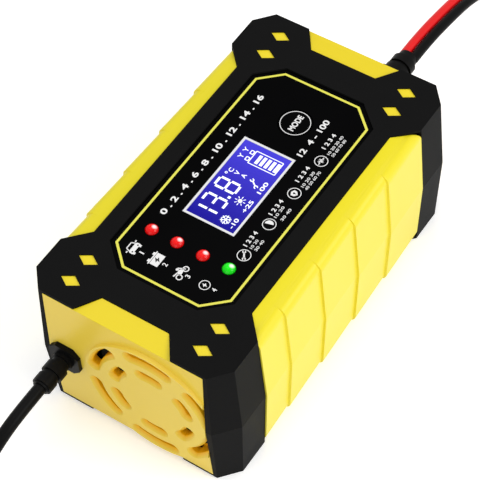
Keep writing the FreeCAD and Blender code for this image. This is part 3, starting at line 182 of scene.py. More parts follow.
def easeEdges(name, width):
    # works on a merged copy, which then stands for the plain shell
    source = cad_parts[name]
    mesh = source.data.copy()
    work = bmesh.new()
    work.from_mesh(mesh)
    bmesh.ops.remove_doubles(work, verts=work.verts, dist=easedEdges["weld"] * mm)
    bmesh.ops.dissolve_limit(work, angle_limit=math.radians(easedEdges["flatWithin"]), verts=work.verts,
                             edges=work.edges)
    work.to_mesh(mesh)
    work.free()
    words = name.split("_")
    piece = bpy.data.objects.new(words[0] + "".join(word.title() for word in words[1:]) + "Eased", mesh)
    collection.objects.link(piece)
    ease = piece.modifiers.new("ease", "BEVEL")
    ease.width = width * mm
    ease.segments = easedEdges["segments"]
    ease.limit_method = "ANGLE"
    ease.angle_limit = math.radians(easedEdges["sharperThan"])
    eased = bpy.data.meshes.new_from_object(piece.evaluated_get(bpy.context.evaluated_depsgraph_get()))
    piece.modifiers.remove(ease)
    piece.data = eased
    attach(piece, "charger")
    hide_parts(name)
    return piece


easedShells = {name: easeEdges(name, width) for name, width in easedEdges["widths"].items()}
print("shells eased")


def declareCord(curve, replaced):
    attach(curve, "charger")
    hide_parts(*replaced)
    lengthOf(curve)
    print(curve.name, "length", round(lengthOf(curve), 3))


declareCord(mainsCord, ("mains_cord", "mains_coil"))
for colour, cord in (("red", redCord), ("black", blackCord)):
    declareCord(cord, (colour + "_lead", colour + "_coil"))


# shader maths
class Sock:
    # one value in a shader's tree; arithmetic on it adds Math nodes
    def __init__(self, tree, socket):
        self.tree = tree
        self.socket = socket

    def join(self, operation, first, second):
        return self.tree.add("ShaderNodeMath", {"operation": operation}, {0: first, 1: second})

    def __add__(self, other):
        return self.join("ADD", self, other)

    def __radd__(self, other):
        return self.join("ADD", other, self)

    def __sub__(self, other):
        return self.join("SUBTRACT", self, other)

    def __rsub__(self, other):
        return self.join("SUBTRACT", other, self)

    def __mul__(self, other):
        return self.join("MULTIPLY", self, other)

    def __rmul__(self, other):
        return self.join("MULTIPLY", other, self)


class Tree:
    # the nodes of one material or world
    def __init__(self, owner):
        owner.use_nodes = True
        self.nodes = owner.node_tree.nodes
        self.links = owner.node_tree.links

    def add(self, kind, settings, sockets, out=0):
        node = self.nodes.new(kind)
        for name, value in settings.items():
            setattr(node, name, value)
        for name, value in sockets.items():
            self.plug(node.inputs[name], value)
        return Sock(self, node.outputs[out])

    def plug(self, target, value):
        if isinstance(value, Sock):
            self.links.new(value.socket, target)
        elif isinstance(value, tuple) and len(value) == 3 and target.type == "RGBA":
            target.default_value = (*value, 1.0)
        else:
            target.default_value = value


class Finish(Tree):
    def __init__(self, name):
        self.material = bpy.data.materials.new(name)
        super().__init__(self.material)
        self.shader = self.nodes["Principled BSDF"]

    def place(self, scale=(1.0, 1.0, 1.0)):
        where = self.add("ShaderNodeTexCoord", {}, {}, "Object")
        return self.add("ShaderNodeMapping", {}, {"Vector": where, "Scale": scale})

    def noise(self, scale, detail=3.0, rough=0.5, stretch=(1.0, 1.0, 1.0)):
        return self.add("ShaderNodeTexNoise", {}, {"Vector": self.place(stretch), "Scale": scale,
                                                   "Detail": detail, "Roughness": rough})

    def mix(self, factor, first, second):
        return self.add("ShaderNodeMix", {"data_type": "RGBA"}, {0: factor, 6: first, 7: second}, 2)

    def bump(self, height, depth):
        return self.add("ShaderNodeBump", {}, {"Height": height, "Distance": depth, "Strength": 1.0})

    def set(self, **values):
        for name, value in values.items():
            self.plug(self.shader.inputs[name.replace("_", " ")], value)


def ramp(finish, value, low, high):
    # 0 at low, 1 at high, and level past both
    return finish.add("ShaderNodeMapRange", {"clamp": True},
                      {"Value": value, "From Min": low, "From Max": high})


dustLevels = (0.62, 0.8)    # the noise at which dust begins and at which it is full
paintedSlotShadeEdge = 0.98             # how sharply the painted shade in the grille's slots, a warm tint, stops at its rim


def mouldedFinish(name, setup):
    # moulded plastic: spark-eroded grain, faint flow marks and a little dust
    finish = Finish(name)
    flow = finish.noise(setup["flowScale"], 4.0, 0.6)
    grain = finish.noise(setup["grainScale"], 2.0, 0.5)
    dust = ramp(finish, finish.noise(setup["dustScale"], 5.0, 0.7), *dustLevels)
    tone = finish.mix(flow, setup["dark"], setup["light"])
    if "paintedCrownShade" in setup:
        # painted shade: the upper band gets a deeper tint than the walls
        height = finish.add("ShaderNodeSeparateXYZ", {}, {0: finish.place()}, "Z")
        tone = finish.mix(ramp(finish, height, setup["paintedCrownShadeLow"], setup["paintedCrownShadeHigh"]), tone, setup["paintedCrownShade"])
    if "well" in setup:
        # painted shade inside the grille's slots: the plastic turns a warmer orange with depth
        where, reach = finish.place(), 0.0
        for axis, middle in zip("XZ", setup["wellCentre"]):
            away = finish.add("ShaderNodeSeparateXYZ", {}, {0: where}, axis) - middle
            reach = away * away + reach
        rim = setup["wellRadius"] ** 2
        inside = ramp(finish, reach, rim, rim * paintedSlotShadeEdge)
        deep = finish.add("ShaderNodeSeparateXYZ", {}, {0: where}, "Y")
        deep = ramp(finish, deep, setup["wellFrom"], setup["wellTo"])
        tone = finish.mix(inside * deep, tone, setup["well"])
    base = finish.mix(dust * setup["dust"], tone, setup["dustColour"])
    rough = setup["rough"] + (flow - 0.5) * setup["roughSpread"] + dust * 0.08
    finish.set(Base_Color=base, Roughness=rough, Normal=finish.bump(grain, setup["grainDepth"]))
    finish.shader.inputs["Specular IOR Level"].default_value = setup["specular"]
    finish.shader.inputs["Coat Weight"].default_value = setup.get("coat", 0.0)
    finish.shader.inputs["Coat Roughness"].default_value = setup.get("coatRough", 0.2)
    return finish.material


blackShellLook = {"dark": (0.0062, 0.0062, 0.0063), "light": (0.008, 0.008, 0.0081), "rough": 0.46,
                  "roughSpread": 0.1, "specular": 0.02, "grainScale": 2600.0, "grainDepth": 0.00003,
                  "flowScale": 60.0, "dustScale": 900.0, "dust": 0.03, "dustColour": (0.05, 0.05, 0.048)}
yellowShellLook = {"dark": (0.87, 0.69, 0.012), "light": (0.91, 0.73, 0.02), "rough": 0.36,
                   "roughSpread": 0.1, "specular": 0.3, "grainScale": 1500.0, "grainDepth": 0.00002,
                   "flowScale": 35.0, "dustScale": 700.0, "dust": 0.05, "dustColour": (0.62, 0.52, 0.1)}
# in both, the band along the top is painted shade, a deeper tint than the wall below
# side and end panels are one yellow plastic: the side panels' paler lemon tone is painted light, the end
# panels' deeper honey tone is painted shade
paintedLitWallLook = dict(yellowShellLook, dark=(0.87, 0.745, 0.045), light=(0.91, 0.79, 0.06),
                     paintedCrownShade=(0.82, 0.7, 0.006), paintedCrownShadeLow=0.0615, paintedCrownShadeHigh=0.0655)
paintedShadedWallLook = dict(yellowShellLook, dark=(0.86, 0.63, 0.055), light=(0.91, 0.675, 0.08),
                     paintedCrownShade=(0.84, 0.66, 0.01), paintedCrownShadeLow=0.0642, paintedCrownShadeHigh=0.0646)
# the grille panel takes the end panels' painted shade and adds painted shade inside its slots, warmer with
# depth
grilleWallLook = dict(paintedShadedWallLook, well=(1.0, 0.55, 0.004), wellCentre=(0.0108, 0.0321),
                      wellRadius=0.0285, wellFrom=-0.0788, wellTo=-0.0774)
filmLook = {"dark": (0.0008, 0.0008, 0.0009), "light": (0.0016, 0.0016, 0.0018), "rough": 0.2,
            "roughSpread": 0.06, "specular": 0.01, "grainScale": 500.0, "grainDepth": 0.000004,
            "flowScale": 40.0, "dustScale": 1500.0, "dust": 0.02, "dustColour": (0.04, 0.04, 0.04),
            "coat": 0.008, "coatRough": 0.06}
rubberLook = {"dark": (0.002, 0.002, 0.002), "light": (0.004, 0.004, 0.004), "rough": 0.4,
              "roughSpread": 0.12, "specular": 0.07, "grainScale": 1200.0, "grainDepth": 0.00003,
              "flowScale": 90.0, "dustScale": 800.0, "dust": 0.08, "dustColour": (0.05, 0.05, 0.05)}
redRubberLook = dict(rubberLook, dark=(0.74, 0.002, 0.003), light=(0.86, 0.004, 0.006), specular=0.35,
                     dustColour=(0.5, 0.05, 0.05))
whitePlasticLook = dict(filmLook, dark=(0.78, 0.78, 0.8), light=(0.86, 0.86, 0.87), rough=0.4,
                        specular=0.3, coat=0.0)
innerPlasticLook = dict(blackShellLook, rough=0.55, dark=(0.012, 0.012, 0.013), light=(0.02, 0.02, 0.021))
ferriteLook = dict(blackShellLook, dark=(0.03, 0.03, 0.033), light=(0.055, 0.055, 0.06), rough=0.7,
                   grainScale=900.0, grainDepth=0.00008)
sleeveLook = dict(filmLook, dark=(0.012, 0.016, 0.09), light=(0.018, 0.024, 0.12), rough=0.3)
gripRedLook = dict(redRubberLook, rough=0.38, grainScale=900.0)


def metalFinish(name, setup):
    # drawn sheet: fine lines along one way, dull patches and fingerprints
    finish = Finish(name)
    lines = finish.noise(setup["lineScale"], 3.0, 0.6, setup["stretch"])
    stain = finish.noise(setup["stainScale"], 4.0, 0.65)
    base = finish.mix(stain, setup["dark"], setup["light"])
    rough = setup["rough"] + lines * setup["lineRough"] + stain * setup["stainRough"]
    finish.set(Base_Color=base, Roughness=rough, Metallic=1.0,
               Normal=finish.bump(lines, setup["lineDepth"]))
    return finish.material


steelLook = {"dark": (0.42, 0.42, 0.43), "light": (0.62, 0.62, 0.63), "rough": 0.22, "lineScale": 700.0,
             "stretch": (1.0, 0.08, 1.0), "stainScale": 130.0, "lineDepth": 0.00002, "lineRough": 0.12,
             "stainRough": 0.1}
brassLook = dict(steelLook, dark=(0.55, 0.36, 0.12), light=(0.72, 0.5, 0.2))
nickelLook = dict(steelLook, dark=(0.6, 0.58, 0.53), light=(0.78, 0.76, 0.72), rough=0.14)
aluminiumLook = dict(steelLook, dark=(0.6, 0.61, 0.62), light=(0.75, 0.76, 0.77), rough=0.3)
copperLook = dict(steelLook, dark=(0.42, 0.13, 0.04), light=(0.62, 0.24, 0.08), stretch=(0.05, 1.0, 1.0))


boardLook = {"scale": 260.0, "trackWidth": 0.03, "padFrom": 0.18, "padTo": 0.14, "rough": 0.3,
             "deep": (0.005, 0.06, 0.022), "track": (0.012, 0.13, 0.045), "tin": (0.6, 0.6, 0.58),
             "trackDepth": 0.00003}


def boardFinish(name):
    # green lacquer over copper tracks, with tinned pads
    finish = Finish(name)
    place = finish.place()
    tracks = finish.add("ShaderNodeTexBrick", {"offset": 0.5},
                        {"Vector": place, "Scale": boardLook["scale"],
                         "Mortar Size": boardLook["trackWidth"], "Mortar Smooth": 0.1}, "Fac")
    cells = finish.add("ShaderNodeTexVoronoi", {},
                       {"Vector": place, "Scale": boardLook["scale"]}, "Distance")
    pads = ramp(finish, cells, boardLook["padFrom"], boardLook["padTo"])
    lacquer = finish.mix(tracks, boardLook["deep"], boardLook["track"])
    base = finish.mix(pads, lacquer, boardLook["tin"])
    finish.set(Base_Color=base, Roughness=boardLook["rough"] + pads * 0.1, Metallic=pads,
               Normal=finish.bump(tracks, boardLook["trackDepth"]))
    return finish.material


screenLook = {"deep": (0.006, 0.003, 0.25), "pale": (0.055, 0.045, 0.6), "low": -0.021, "high": 0.018,
              "glow": 0.3, "pixelScale": 1500.0, "pixelShare": 0.12}


def screenFinish(name):
    # backlit blue film behind clear glass, brighter towards the far end
    finish = Finish(name)
    where = finish.add("ShaderNodeSeparateXYZ", {}, {0: finish.place()}, "Y")
    along = ramp(finish, where, screenLook["low"], screenLook["high"])
    pixels = finish.noise(screenLook["pixelScale"], 1.0, 0.4)
    tone = finish.mix(along, screenLook["deep"], screenLook["pale"])
    colour = finish.mix(pixels * screenLook["pixelShare"], tone, screenLook["deep"])
    finish.set(Base_Color=colour, Emission_Color=colour, Roughness=0.12 + pixels * 0.05)
    finish.shader.inputs["Emission Strength"].default_value = screenLook["glow"]
    finish.shader.inputs["Specular IOR Level"].default_value = 0.06
    return finish.material


lampLook = {"firstX": -0.0169, "pitch": 0.01105, "y": -0.0343, "heart": 0.0006, "edge": 0.00245,
            "glint": (0.0008, 0.0007), "glintFrom": 0.00115, "glintTo": 0.0004, "glintShare": 0.75,
            "glintColour": (1.0, 0.93, 0.93)}


def lampFinish(name, colour, glow, deep):
    # a lit lens: bright heart, deeper rim and a painted highlight, a pale spot off the middle
    finish = Finish(name)
    where = finish.place()
    x = finish.add("ShaderNodeSeparateXYZ", {}, {0: where}, "X")
    y = finish.add("ShaderNodeSeparateXYZ", {}, {0: where}, "Y")
    cell = finish.add("ShaderNodeMath", {"operation": "FLOOR"},
                      {0: (x - lampLook["firstX"]) * (1 / lampLook["pitch"]) + 0.5})
    across = x - (cell * lampLook["pitch"] + lampLook["firstX"])
    along = y - lampLook["y"]
    reach = finish.add("ShaderNodeMath", {"operation": "SQRT"}, {0: across * across + along * along})
    # painted highlight: a pale spot set off each lens's middle
    right, up = across - lampLook["glint"][0], along - lampLook["glint"][1]
    spot = finish.add("ShaderNodeMath", {"operation": "SQRT"}, {0: right * right + up * up})
    glint = ramp(finish, spot, lampLook["glintFrom"], lampLook["glintTo"]) * lampLook["glintShare"]
    tone = finish.mix(ramp(finish, reach, lampLook["heart"], lampLook["edge"]), colour, deep)
    tone = finish.mix(glint, tone, lampLook["glintColour"])
    swirl = finish.noise(700.0, 2.0, 0.5)
    finish.set(Base_Color=tone, Emission_Color=tone, Roughness=0.08 + swirl * 0.05)
    finish.shader.inputs["Emission Strength"].default_value = glow
    finish.shader.inputs["Coat Weight"].default_value = 0.25
    finish.shader.inputs["Coat Roughness"].default_value = 0.05
    finish.shader.inputs["Specular IOR Level"].default_value = 0.1
    return finish.material


inkLook = {"filmScale": 2500.0, "filmDepth": 0.000004, "rough": 0.45, "wearScale": 1800.0,
           "wearLevels": (0.7, 0.82), "wear": 0.25, "wornTone": 0.6}


def printFinish(name, colour, glow=0.0):
    # screen-printed ink with a faintly uneven film
    finish = Finish(name)
    film = finish.noise(inkLook["filmScale"], 2.0, 0.5)
    worn = ramp(finish, finish.noise(inkLook["wearScale"], 4.0, 0.7), *inkLook["wearLevels"])
    base = finish.mix(worn * inkLook["wear"], colour, tuple(c * inkLook["wornTone"] for c in colour))
    finish.set(Base_Color=base, Roughness=inkLook["rough"] + film * 0.15,
               Normal=finish.bump(film, inkLook["filmDepth"]))
    if glow:
        finish.set(Emission_Color=base)
        finish.shader.inputs["Emission Strength"].default_value = glow
    return finish.material


blackShell = mouldedFinish("blackShell", blackShellLook)
yellowShell = mouldedFinish("yellowShell", yellowShellLook)
paintedLitWall = mouldedFinish("paintedLitWall", paintedLitWallLook)
paintedShadedWall = mouldedFinish("paintedShadedWall", paintedShadedWallLook)
grilleWall = mouldedFinish("grilleWall", grilleWallLook)
panelFilm = mouldedFinish("panelFilm", filmLook)
blackRubber = mouldedFinish("blackRubber", rubberLook)
redRubber = mouldedFinish("redRubber", redRubberLook)
gripRed = mouldedFinish("gripRed", gripRedLook)
whitePlastic = mouldedFinish("whitePlastic", whitePlasticLook)
innerPlastic = mouldedFinish("innerPlastic", innerPlasticLook)
ferrite = mouldedFinish("ferrite", ferriteLook)
canSleeve = mouldedFinish("canSleeve", sleeveLook)
steel = metalFinish("steel", steelLook)
brass = metalFinish("brass", brassLook)
nickel = metalFinish("nickel", nickelLook)
aluminium = metalFinish("aluminium", aluminiumLook)
copper = metalFinish("copper", copperLook)
greenBoard = boardFinish("greenBoard")
blueScreen = screenFinish("blueScreen")
redLamp = lampFinish("redLamp", (0.85, 0.001, 0.001), 0.35, (0.5, 0.0, 0.0))
greenLamp = lampFinish("greenLamp", (0.001, 0.74, 0.004), 0.4, (0.0, 0.42, 0.002))
whiteInk = printFinish("whiteInk", (0.87, 0.87, 0.87))
yellowInk = printFinish("yellowInk", (0.81, 0.78, 0.085))
blackInk = printFinish("blackInk", (0.002, 0.002, 0.002))
screenInk = printFinish("screenInk", (0.9, 0.92, 1.0), 0.35)

nodeFinishes = {
    blackShell: ("top_frame", "bottom_frame"),
    yellowShell: ("corner_inlays",),
    # one yellow plastic: the side panels carry painted light, both end panels painted shade
    paintedLitWall: ("side_panel_left", "side_panel_right"),
    grilleWall: ("end_panel_near",),
    paintedShadedWall: ("end_panel_far",),
    yellowInk: ("panel_border",),
    panelFilm: ("display_panel", "mode_button"),
    whitePlastic: ("lcd_bezel", "lcd_backlight", "switch_plunger"),
    blueScreen: ("lcd_glass",),
    redLamp: ("red_led_lenses",),
    greenLamp: ("green_led_lens",),
    blackRubber: ("mains_gland", "output_gland", "mains_plug", "black_base_grip", "black_moving_grip",
                  "board_ribbon"),
    gripRed: ("red_base_grip", "red_moving_grip"),
    innerPlastic: ("tact_switch", "transformer_bobbin", "power_transistors", "polarity_relay", "fan_frame",
                   "fan_rotor", "output_choke"),
    ferrite: ("transformer_core",),
    canSleeve: ("input_capacitor", "output_capacitors"),
    greenBoard: ("display_board", "main_board"),
    brass: ("fan_bearing",),
    nickel: ("plug_blades",),
    aluminium: ("heat_sink",),
    copper: ("transformer_winding",),
    steel: ("display_board_screws", "main_board_screws", "case_screws", "fan_shaft", "fan_screws",
            "red_base_jaw", "red_moving_jaw", "red_clamp_pin", "red_clamp_spring", "black_base_jaw",
            "black_moving_jaw", "black_clamp_pin", "black_clamp_spring", "mains_fuse"),
}


def dress(piece, material):
    piece.data.materials.clear()
    piece.data.materials.append(material)


for material, names in nodeFinishes.items():
    for name in names:
        dress(easedShells.get(name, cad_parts[name]), material)
dress(mainsCord, blackRubber)
dress(redCord, redRubber)
dress(blackCord, blackRubber)
print("finishes ready")


# flat graphics: each outline is a list of (along, up) points in mm; along is +Y, up is -X on the panel
panelTop = 65.2
inkThick = 0.03


def barShape(a0, b0, a1, b1, width):
    along = Vector((a1 - a0, b1 - b0)).normalized() * width / 2
    side = Vector((-along.y, along.x))
    ends = [Vector((a0, b0)), Vector((a1, b1))]
    return [[tuple(ends[0] - side), tuple(ends[1] - side), tuple(ends[1] + side), tuple(ends[0] + side)]]


def lineShape(points, width, closed=False):
    points = points + points[:1] if closed else points
    return [shape for p, q in zip(points, points[1:]) for shape in barShape(*p, *q, width)]


def ringShape(a, b, radius, width, start=0.0, end=360.0):
    count = max(12, int(abs(end - start) / 8))
    shapes = []
    for step in range(count):
        angles = [math.radians(start + (end - start) * k / count) for k in (step, step + 1)]
        near, far = radius - width / 2, radius + width / 2
        shapes.append([(a + r * math.cos(t), b + r * math.sin(t)) for r, t in
                       ((near, angles[0]), (far, angles[0]), (far, angles[1]), (near, angles[1]))])
    return shapes


def discShape(a, b, radius, start=0.0, end=360.0):
    count = 28
    points = [(a + radius * math.cos(math.radians(start + (end - start) * k / count)),
               b + radius * math.sin(math.radians(start + (end - start) * k / count)))
              for k in range(count + (end - start < 360))]
    return [points]


def boxShape(a0, b0, a1, b1):
    return [[(a0, b0), (a1, b0), (a1, b1), (a0, b1)]]


def moved(shapes, x, y, scale=1.0):
    # puts a picture drawn round (0, 0) at a place on the panel
    return [[(y + a * scale, -x + b * scale) for a, b in shape] for shape in shapes]


def raisedMesh(name, shapes, low, thick, material, body):
    bm = bmesh.new()
    for shape in shapes:
        area = sum(p[0] * q[1] - q[0] * p[1] for p, q in zip(shape, shape[1:] + shape[:1]))
        shape = shape if area > 0 else shape[::-1]
        rows = [[bm.verts.new((-b * mm, a * mm, z * mm)) for a, b in shape] for z in (low, low + thick)]
        bm.faces.new(rows[1])
        bm.faces.new(rows[0][::-1])
        for k in range(len(shape)):
            n = (k + 1) % len(shape)
            bm.faces.new((rows[0][k], rows[0][n], rows[1][n], rows[1][k]))
    bmesh.ops.triangulate(bm, faces=[f for f in bm.faces if len(f.verts) > 4])
    bmesh.ops.recalc_face_normals(bm, faces=bm.faces)
    mesh = bpy.data.meshes.new(name)
    bm.to_mesh(mesh)
    bm.free()
    piece = bpy.data.objects.new(name, mesh)
    collection.objects.link(piece)
    dress(piece, material)
    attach(piece, body)


def lettering(text, x, y0, y1, height, weight=0.02):
    # generic figures as triangles, fitted between y0 and y1 with their middle at x
    data = bpy.data.curves.new("figures", "FONT")
    data.body = text
    data.size = 1.0
    data.offset = weight
    holder = bpy.data.objects.new("figures", data)
    collection.objects.link(holder)
    mesh = bpy.data.meshes.new_from_object(holder.evaluated_get(bpy.context.evaluated_depsgraph_get()))
    xs = [v.co.x for v in mesh.vertices]
    ys = [v.co.y for v in mesh.vertices]
    wide, tall = max(xs) - min(xs), max(ys) - min(ys)
    left, foot, shapes = min(xs), min(ys), []
    for face in mesh.polygons:
        points = [mesh.vertices[i].co for i in face.vertices]
        shapes.append([(y0 + (p.x - left) / wide * (y1 - y0), -x + ((p.y - foot) / tall - 0.5) * height)
                       for p in points])
    bpy.data.objects.remove(holder)
    bpy.data.curves.remove(data)
    bpy.data.meshes.remove(mesh)
    return shapes


segmentsOf = {"1": "bc", "3": "abgcd", "8": "abcdefg"}


def digitShape(digit, a0, a1, b0, b1, width):
    # one seven-segment figure between two corners
    mid, gap = (b0 + b1) / 2, width * 0.42
    lines = {"a": (a0 + gap, b1, a1 - gap, b1), "g": (a0 + gap, mid, a1 - gap, mid),
             "d": (a0 + gap, b0, a1 - gap, b0), "b": (a1, mid + gap, a1, b1 - gap),
             "c": (a1, b0 + gap, a1, mid - gap), "f": (a0, mid + gap, a0, b1 - gap),
             "e": (a0, b0 + gap, a0, mid - gap)}
    return [shape for key in segmentsOf[digit] for shape in barShape(*lines[key], width)]


def polar(radius, angle):
    return radius * math.cos(angle), radius * math.sin(angle)


# pictograms round (0, 0), in millimetres
iconSet = {
    "car": boxShape(-2.6, -1.5, 2.6, -0.3) + [[(-2.6, -0.3), (2.6, -0.3), (2.2, 0.35), (-2.2, 0.35)]]
           + lineShape([(-2.0, 0.3), (-1.45, 1.8), (1.45, 1.8), (2.0, 0.3)], 0.42)
           + boxShape(-2.4, -2.25, -1.4, -1.5) + boxShape(1.4, -2.25, 2.4, -1.5)
           + boxShape(-3.2, 0.55, -2.4, 1.05) + boxShape(2.4, 0.55, 3.2, 1.05),
    "battery": boxShape(-2.7, -2.1, 2.7, 1.2) + boxShape(-3.1, 1.4, 3.1, 1.9)
               + boxShape(-2.3, 1.9, -1.1, 2.6) + boxShape(1.1, 1.9, 2.3, 2.6),
    "motorcycle": ringShape(-2.1, -1.0, 1.05, 0.42) + ringShape(2.1, -1.0, 1.05, 0.42)
                  + [[(-1.7, -0.5), (-1.0, 0.7), (0.4, 0.9), (1.2, 0.3), (0.9, -0.8), (-0.6, -1.0)]]
                  + barShape(0.9, 1.7, 2.1, -1.0, 0.42) + barShape(-2.9, 1.0, -0.9, 0.6, 0.5)
                  + discShape(0.35, 1.5, 0.55),
    "bolt": ringShape(0, 0, 1.95, 0.3) + [[(-0.9, -0.1), (0.35, 1.1), (0.2, 0.2)],
                                          [(0.9, 0.1), (-0.35, -1.1), (-0.2, -0.2)],
                                          [(-0.9, -0.1), (0.2, 0.2), (0.9, 0.1), (-0.2, -0.2)]],
    "wrench": ringShape(0, 0, 2.45, 0.3) + barShape(-0.9, -0.55, 0.9, 0.55, 0.6)
              + ringShape(1.35, 0.8, 0.5, 0.4, 70, 350) + ringShape(-1.35, -0.8, 0.5, 0.4, 250, 530),
    "moon": ringShape(0, 0, 2.45, 0.3) + discShape(0.05, 0.1, 1.65, -75, 105),
    "shield": ringShape(0, 0, 2.45, 0.3)
              + [[(0, -1.45), (1.2, -0.5), (1.35, 0.75), (0, 1.4), (-1.35, 0.75), (-1.2, -0.5)]],
    "pulse": ringShape(0, 0, 2.45, 0.3)
             + lineShape([(-1.9, 0), (-1.0, 0), (-0.6, 1.1), (-0.1, -1.2), (0.4, 1.3), (0.8, -0.6),
                          (1.1, 0), (1.9, 0)], 0.38),
    "sun": discShape(0, 0, 0.85)
           + [s for k in range(8) for s in
              barShape(*polar(1.2, k * math.pi / 4), *polar(2.15, k * math.pi / 4), 0.3)],
    "snow": [s for k in range(6) for s in
             barShape(0, 0, *polar(2.1, k * math.pi / 3), 0.36)
             + barShape(*polar(1.2, k * math.pi / 3), *polar(1.9, k * math.pi / 3 + 0.45), 0.3)
             + barShape(*polar(1.2, k * math.pi / 3), *polar(1.9, k * math.pi / 3 - 0.45), 0.3)],
    "spanner": barShape(-0.9, -1.2, 0.9, 1.2, 0.62) + ringShape(1.25, 1.75, 0.72, 0.5, 95, 375)
               + ringShape(-1.25, -1.75, 0.72, 0.5, 275, 555),
    "batteryFlash": [[(-1.3, -0.55), (0.55, 0.95), (0.25, -0.2)],
                     [(1.3, -0.25), (-0.55, -1.75), (-0.25, -0.6)],
                     [(-1.3, -0.55), (-0.25, -0.6), (1.3, -0.25), (0.25, -0.2)]],
    "carLamps": discShape(-1.7, -0.9, 0.32) + discShape(1.7, -0.9, 0.32),
    "shieldKeyhole": discShape(0, 0.15, 0.42) + boxShape(-0.16, -0.7, 0.16, 0.1),
}
panelIcons = [("car", -18.0, -44.3), ("battery", -7.9, -44.3), ("motorcycle", 2.4, -44.4),
              ("bolt", 12.9, -44.6), ("wrench", 17.5, -26.6), ("moon", 17.6, -10.4), ("shield", 17.7, 6.1),
              ("pulse", 18.0, 23.9)]
darkDetails = {"battery": "batteryFlash", "car": "carLamps", "shield": "shieldKeyhole"}
panelFigures = [("0 . 2 . 4 . 6 . 8 . 10 . 12 . 14 . 16", -18.0, -26.5, 39.4, 2.6, 0.03),
                ("12  4 - 100", 9.8, 21.8, 41.6, 2.5, 0.025),
                ("1", -14.0, -44.9, -44.35, 2.0, 0.02), ("2", -4.0, -45.2, -44.0, 2.0, 0.02),
                ("3", 5.8, -45.2, -44.0, 2.0, 0.02), ("4", 16.9, -45.2, -44.0, 2.0, 0.02),
                ("1 2 3 4", 15.5, 29.3, 37.3, 1.8, 0.03), ("10 20 30 40", 18.5, 27.8, 38.0, 1.15, 0.01),
                ("50 60 70 80", 20.3, 27.8, 37.0, 1.15, 0.01),
                ("1 2 3 4", 15.5, 11.2, 19.2, 1.8, 0.03), ("10 20 30", 18.5, 10.0, 18.2, 1.15, 0.01),
                ("40 50 60 70", 20.3, 9.6, 19.4, 1.15, 0.01),
                ("1 2 3 4", 15.5, -6.6, 1.2, 1.8, 0.03), ("10 20", 17.7, -6.8, -1.0, 1.15, 0.01),
                ("30 40", 20.4, -6.8, -0.6, 1.15, 0.01),
                ("1 2 3 4", 15.5, -23.0, -15.6, 1.8, 0.03), ("10 20", 17.9, -22.9, -18.4, 1.15, 0.01),
                ("30 40", 19.8, -22.9, -17.6, 1.15, 0.01)]
buttonArt = {"middle": (0.1, 34.4), "ring": (5.75, 0.28), "word": ("MODE", 0.3, 30.5, 38.5, 2.5, 0.03)}
screenArt = {
    "top": 65.05,
    "digits": [("1", -16.9, -15.9), ("3", -13.4, -9.5), ("8", -5.4, -1.0)],
    "digitHigh": (0.7, 9.5), "digitWidth": 1.0, "dot": (-7.6, 1.45), "degree": (-8.9, 1.6), "line": 0.38,
    "gauge": [(9.5, 4.7), (15.8, 4.7), (15.8, -6.9), (9.5, -6.9)], "terminals": (11.0, 14.4),
    "units": [("C", -8.0, 2.6, 4.4, 1.9), ("V", -5.3, 2.6, 4.4, 1.9), ("A", -2.5, 2.6, 4.4, 1.9)],
    "icons": [("snow", 3.1, -16.7, 1.0), ("sun", 2.8, -6.9, 1.0), ("spanner", 2.7, 2.4, 0.85)],
    "figures": [("-10", 6.6, -19.0, -14.2, 1.7), ("+25", 6.6, -10.6, -4.6, 1.7),
                ("100", 6.6, -0.6, 5.2, 1.7)],
}


def printPanel():
    ink = [s for name, x, y in panelIcons for s in moved(iconSet[name], x, y)]
    for text, x, y0, y1, height, weight in panelFigures:
        ink += lettering(text, x, y0, y1, height, weight)
    raisedMesh("panelPrint", ink, panelTop, inkThick, whiteInk, "charger")
    places = {name: (x, y) for name, x, y in panelIcons}
    dark = [s for name, detail in darkDetails.items() for s in moved(iconSet[detail], *places[name])]
    raisedMesh("panelPrintDark", dark, panelTop + inkThick, 0.02, blackInk, "charger")
    button = moved(ringShape(0, 0, *buttonArt["ring"]), *buttonArt["middle"]) + lettering(*buttonArt["word"])
    raisedMesh("buttonPrint", button, panelTop, inkThick, whiteInk, "mode_button")


def printScreen():
    art = screenArt
    b0, b1 = art["digitHigh"]
    ink = [s for digit, a0, a1 in art["digits"]
           for s in digitShape(digit, a0, a1, b0, b1, art["digitWidth"])]
    a, b = art["dot"]
    ink += boxShape(a - 0.55, b - 0.55, a + 0.55, b + 0.55)
    ink += moved(ringShape(0, 0, 0.42, 0.28), *art["degree"])
    for text, x, y0, y1, height in art["units"] + art["figures"]:
        ink += lettering(text, x, y0, y1, height, 0.02)
    for name, x, y, scale in art["icons"]:
        ink += moved(iconSet[name], x, y, scale)
    ink += lineShape(art["gauge"], art["line"], True)
    for y in art["terminals"]:
        # a terminal and the clamp over it
        ink += lineShape([(y - 0.8, 5.2), (y - 0.8, 6.5), (y + 0.8, 6.5), (y + 0.8, 5.2)], art["line"], True)
        ink += lineShape([(y - 0.9, 9.6), (y, 8.7), (y + 0.9, 9.6)], 0.36) + barShape(y, 8.8, y, 7.6, 0.36)
    raisedMesh("screenPrint", ink, art["top"], inkThick, screenInk, "charger")


printPanel()
printScreen()
print("panel graphics ready")


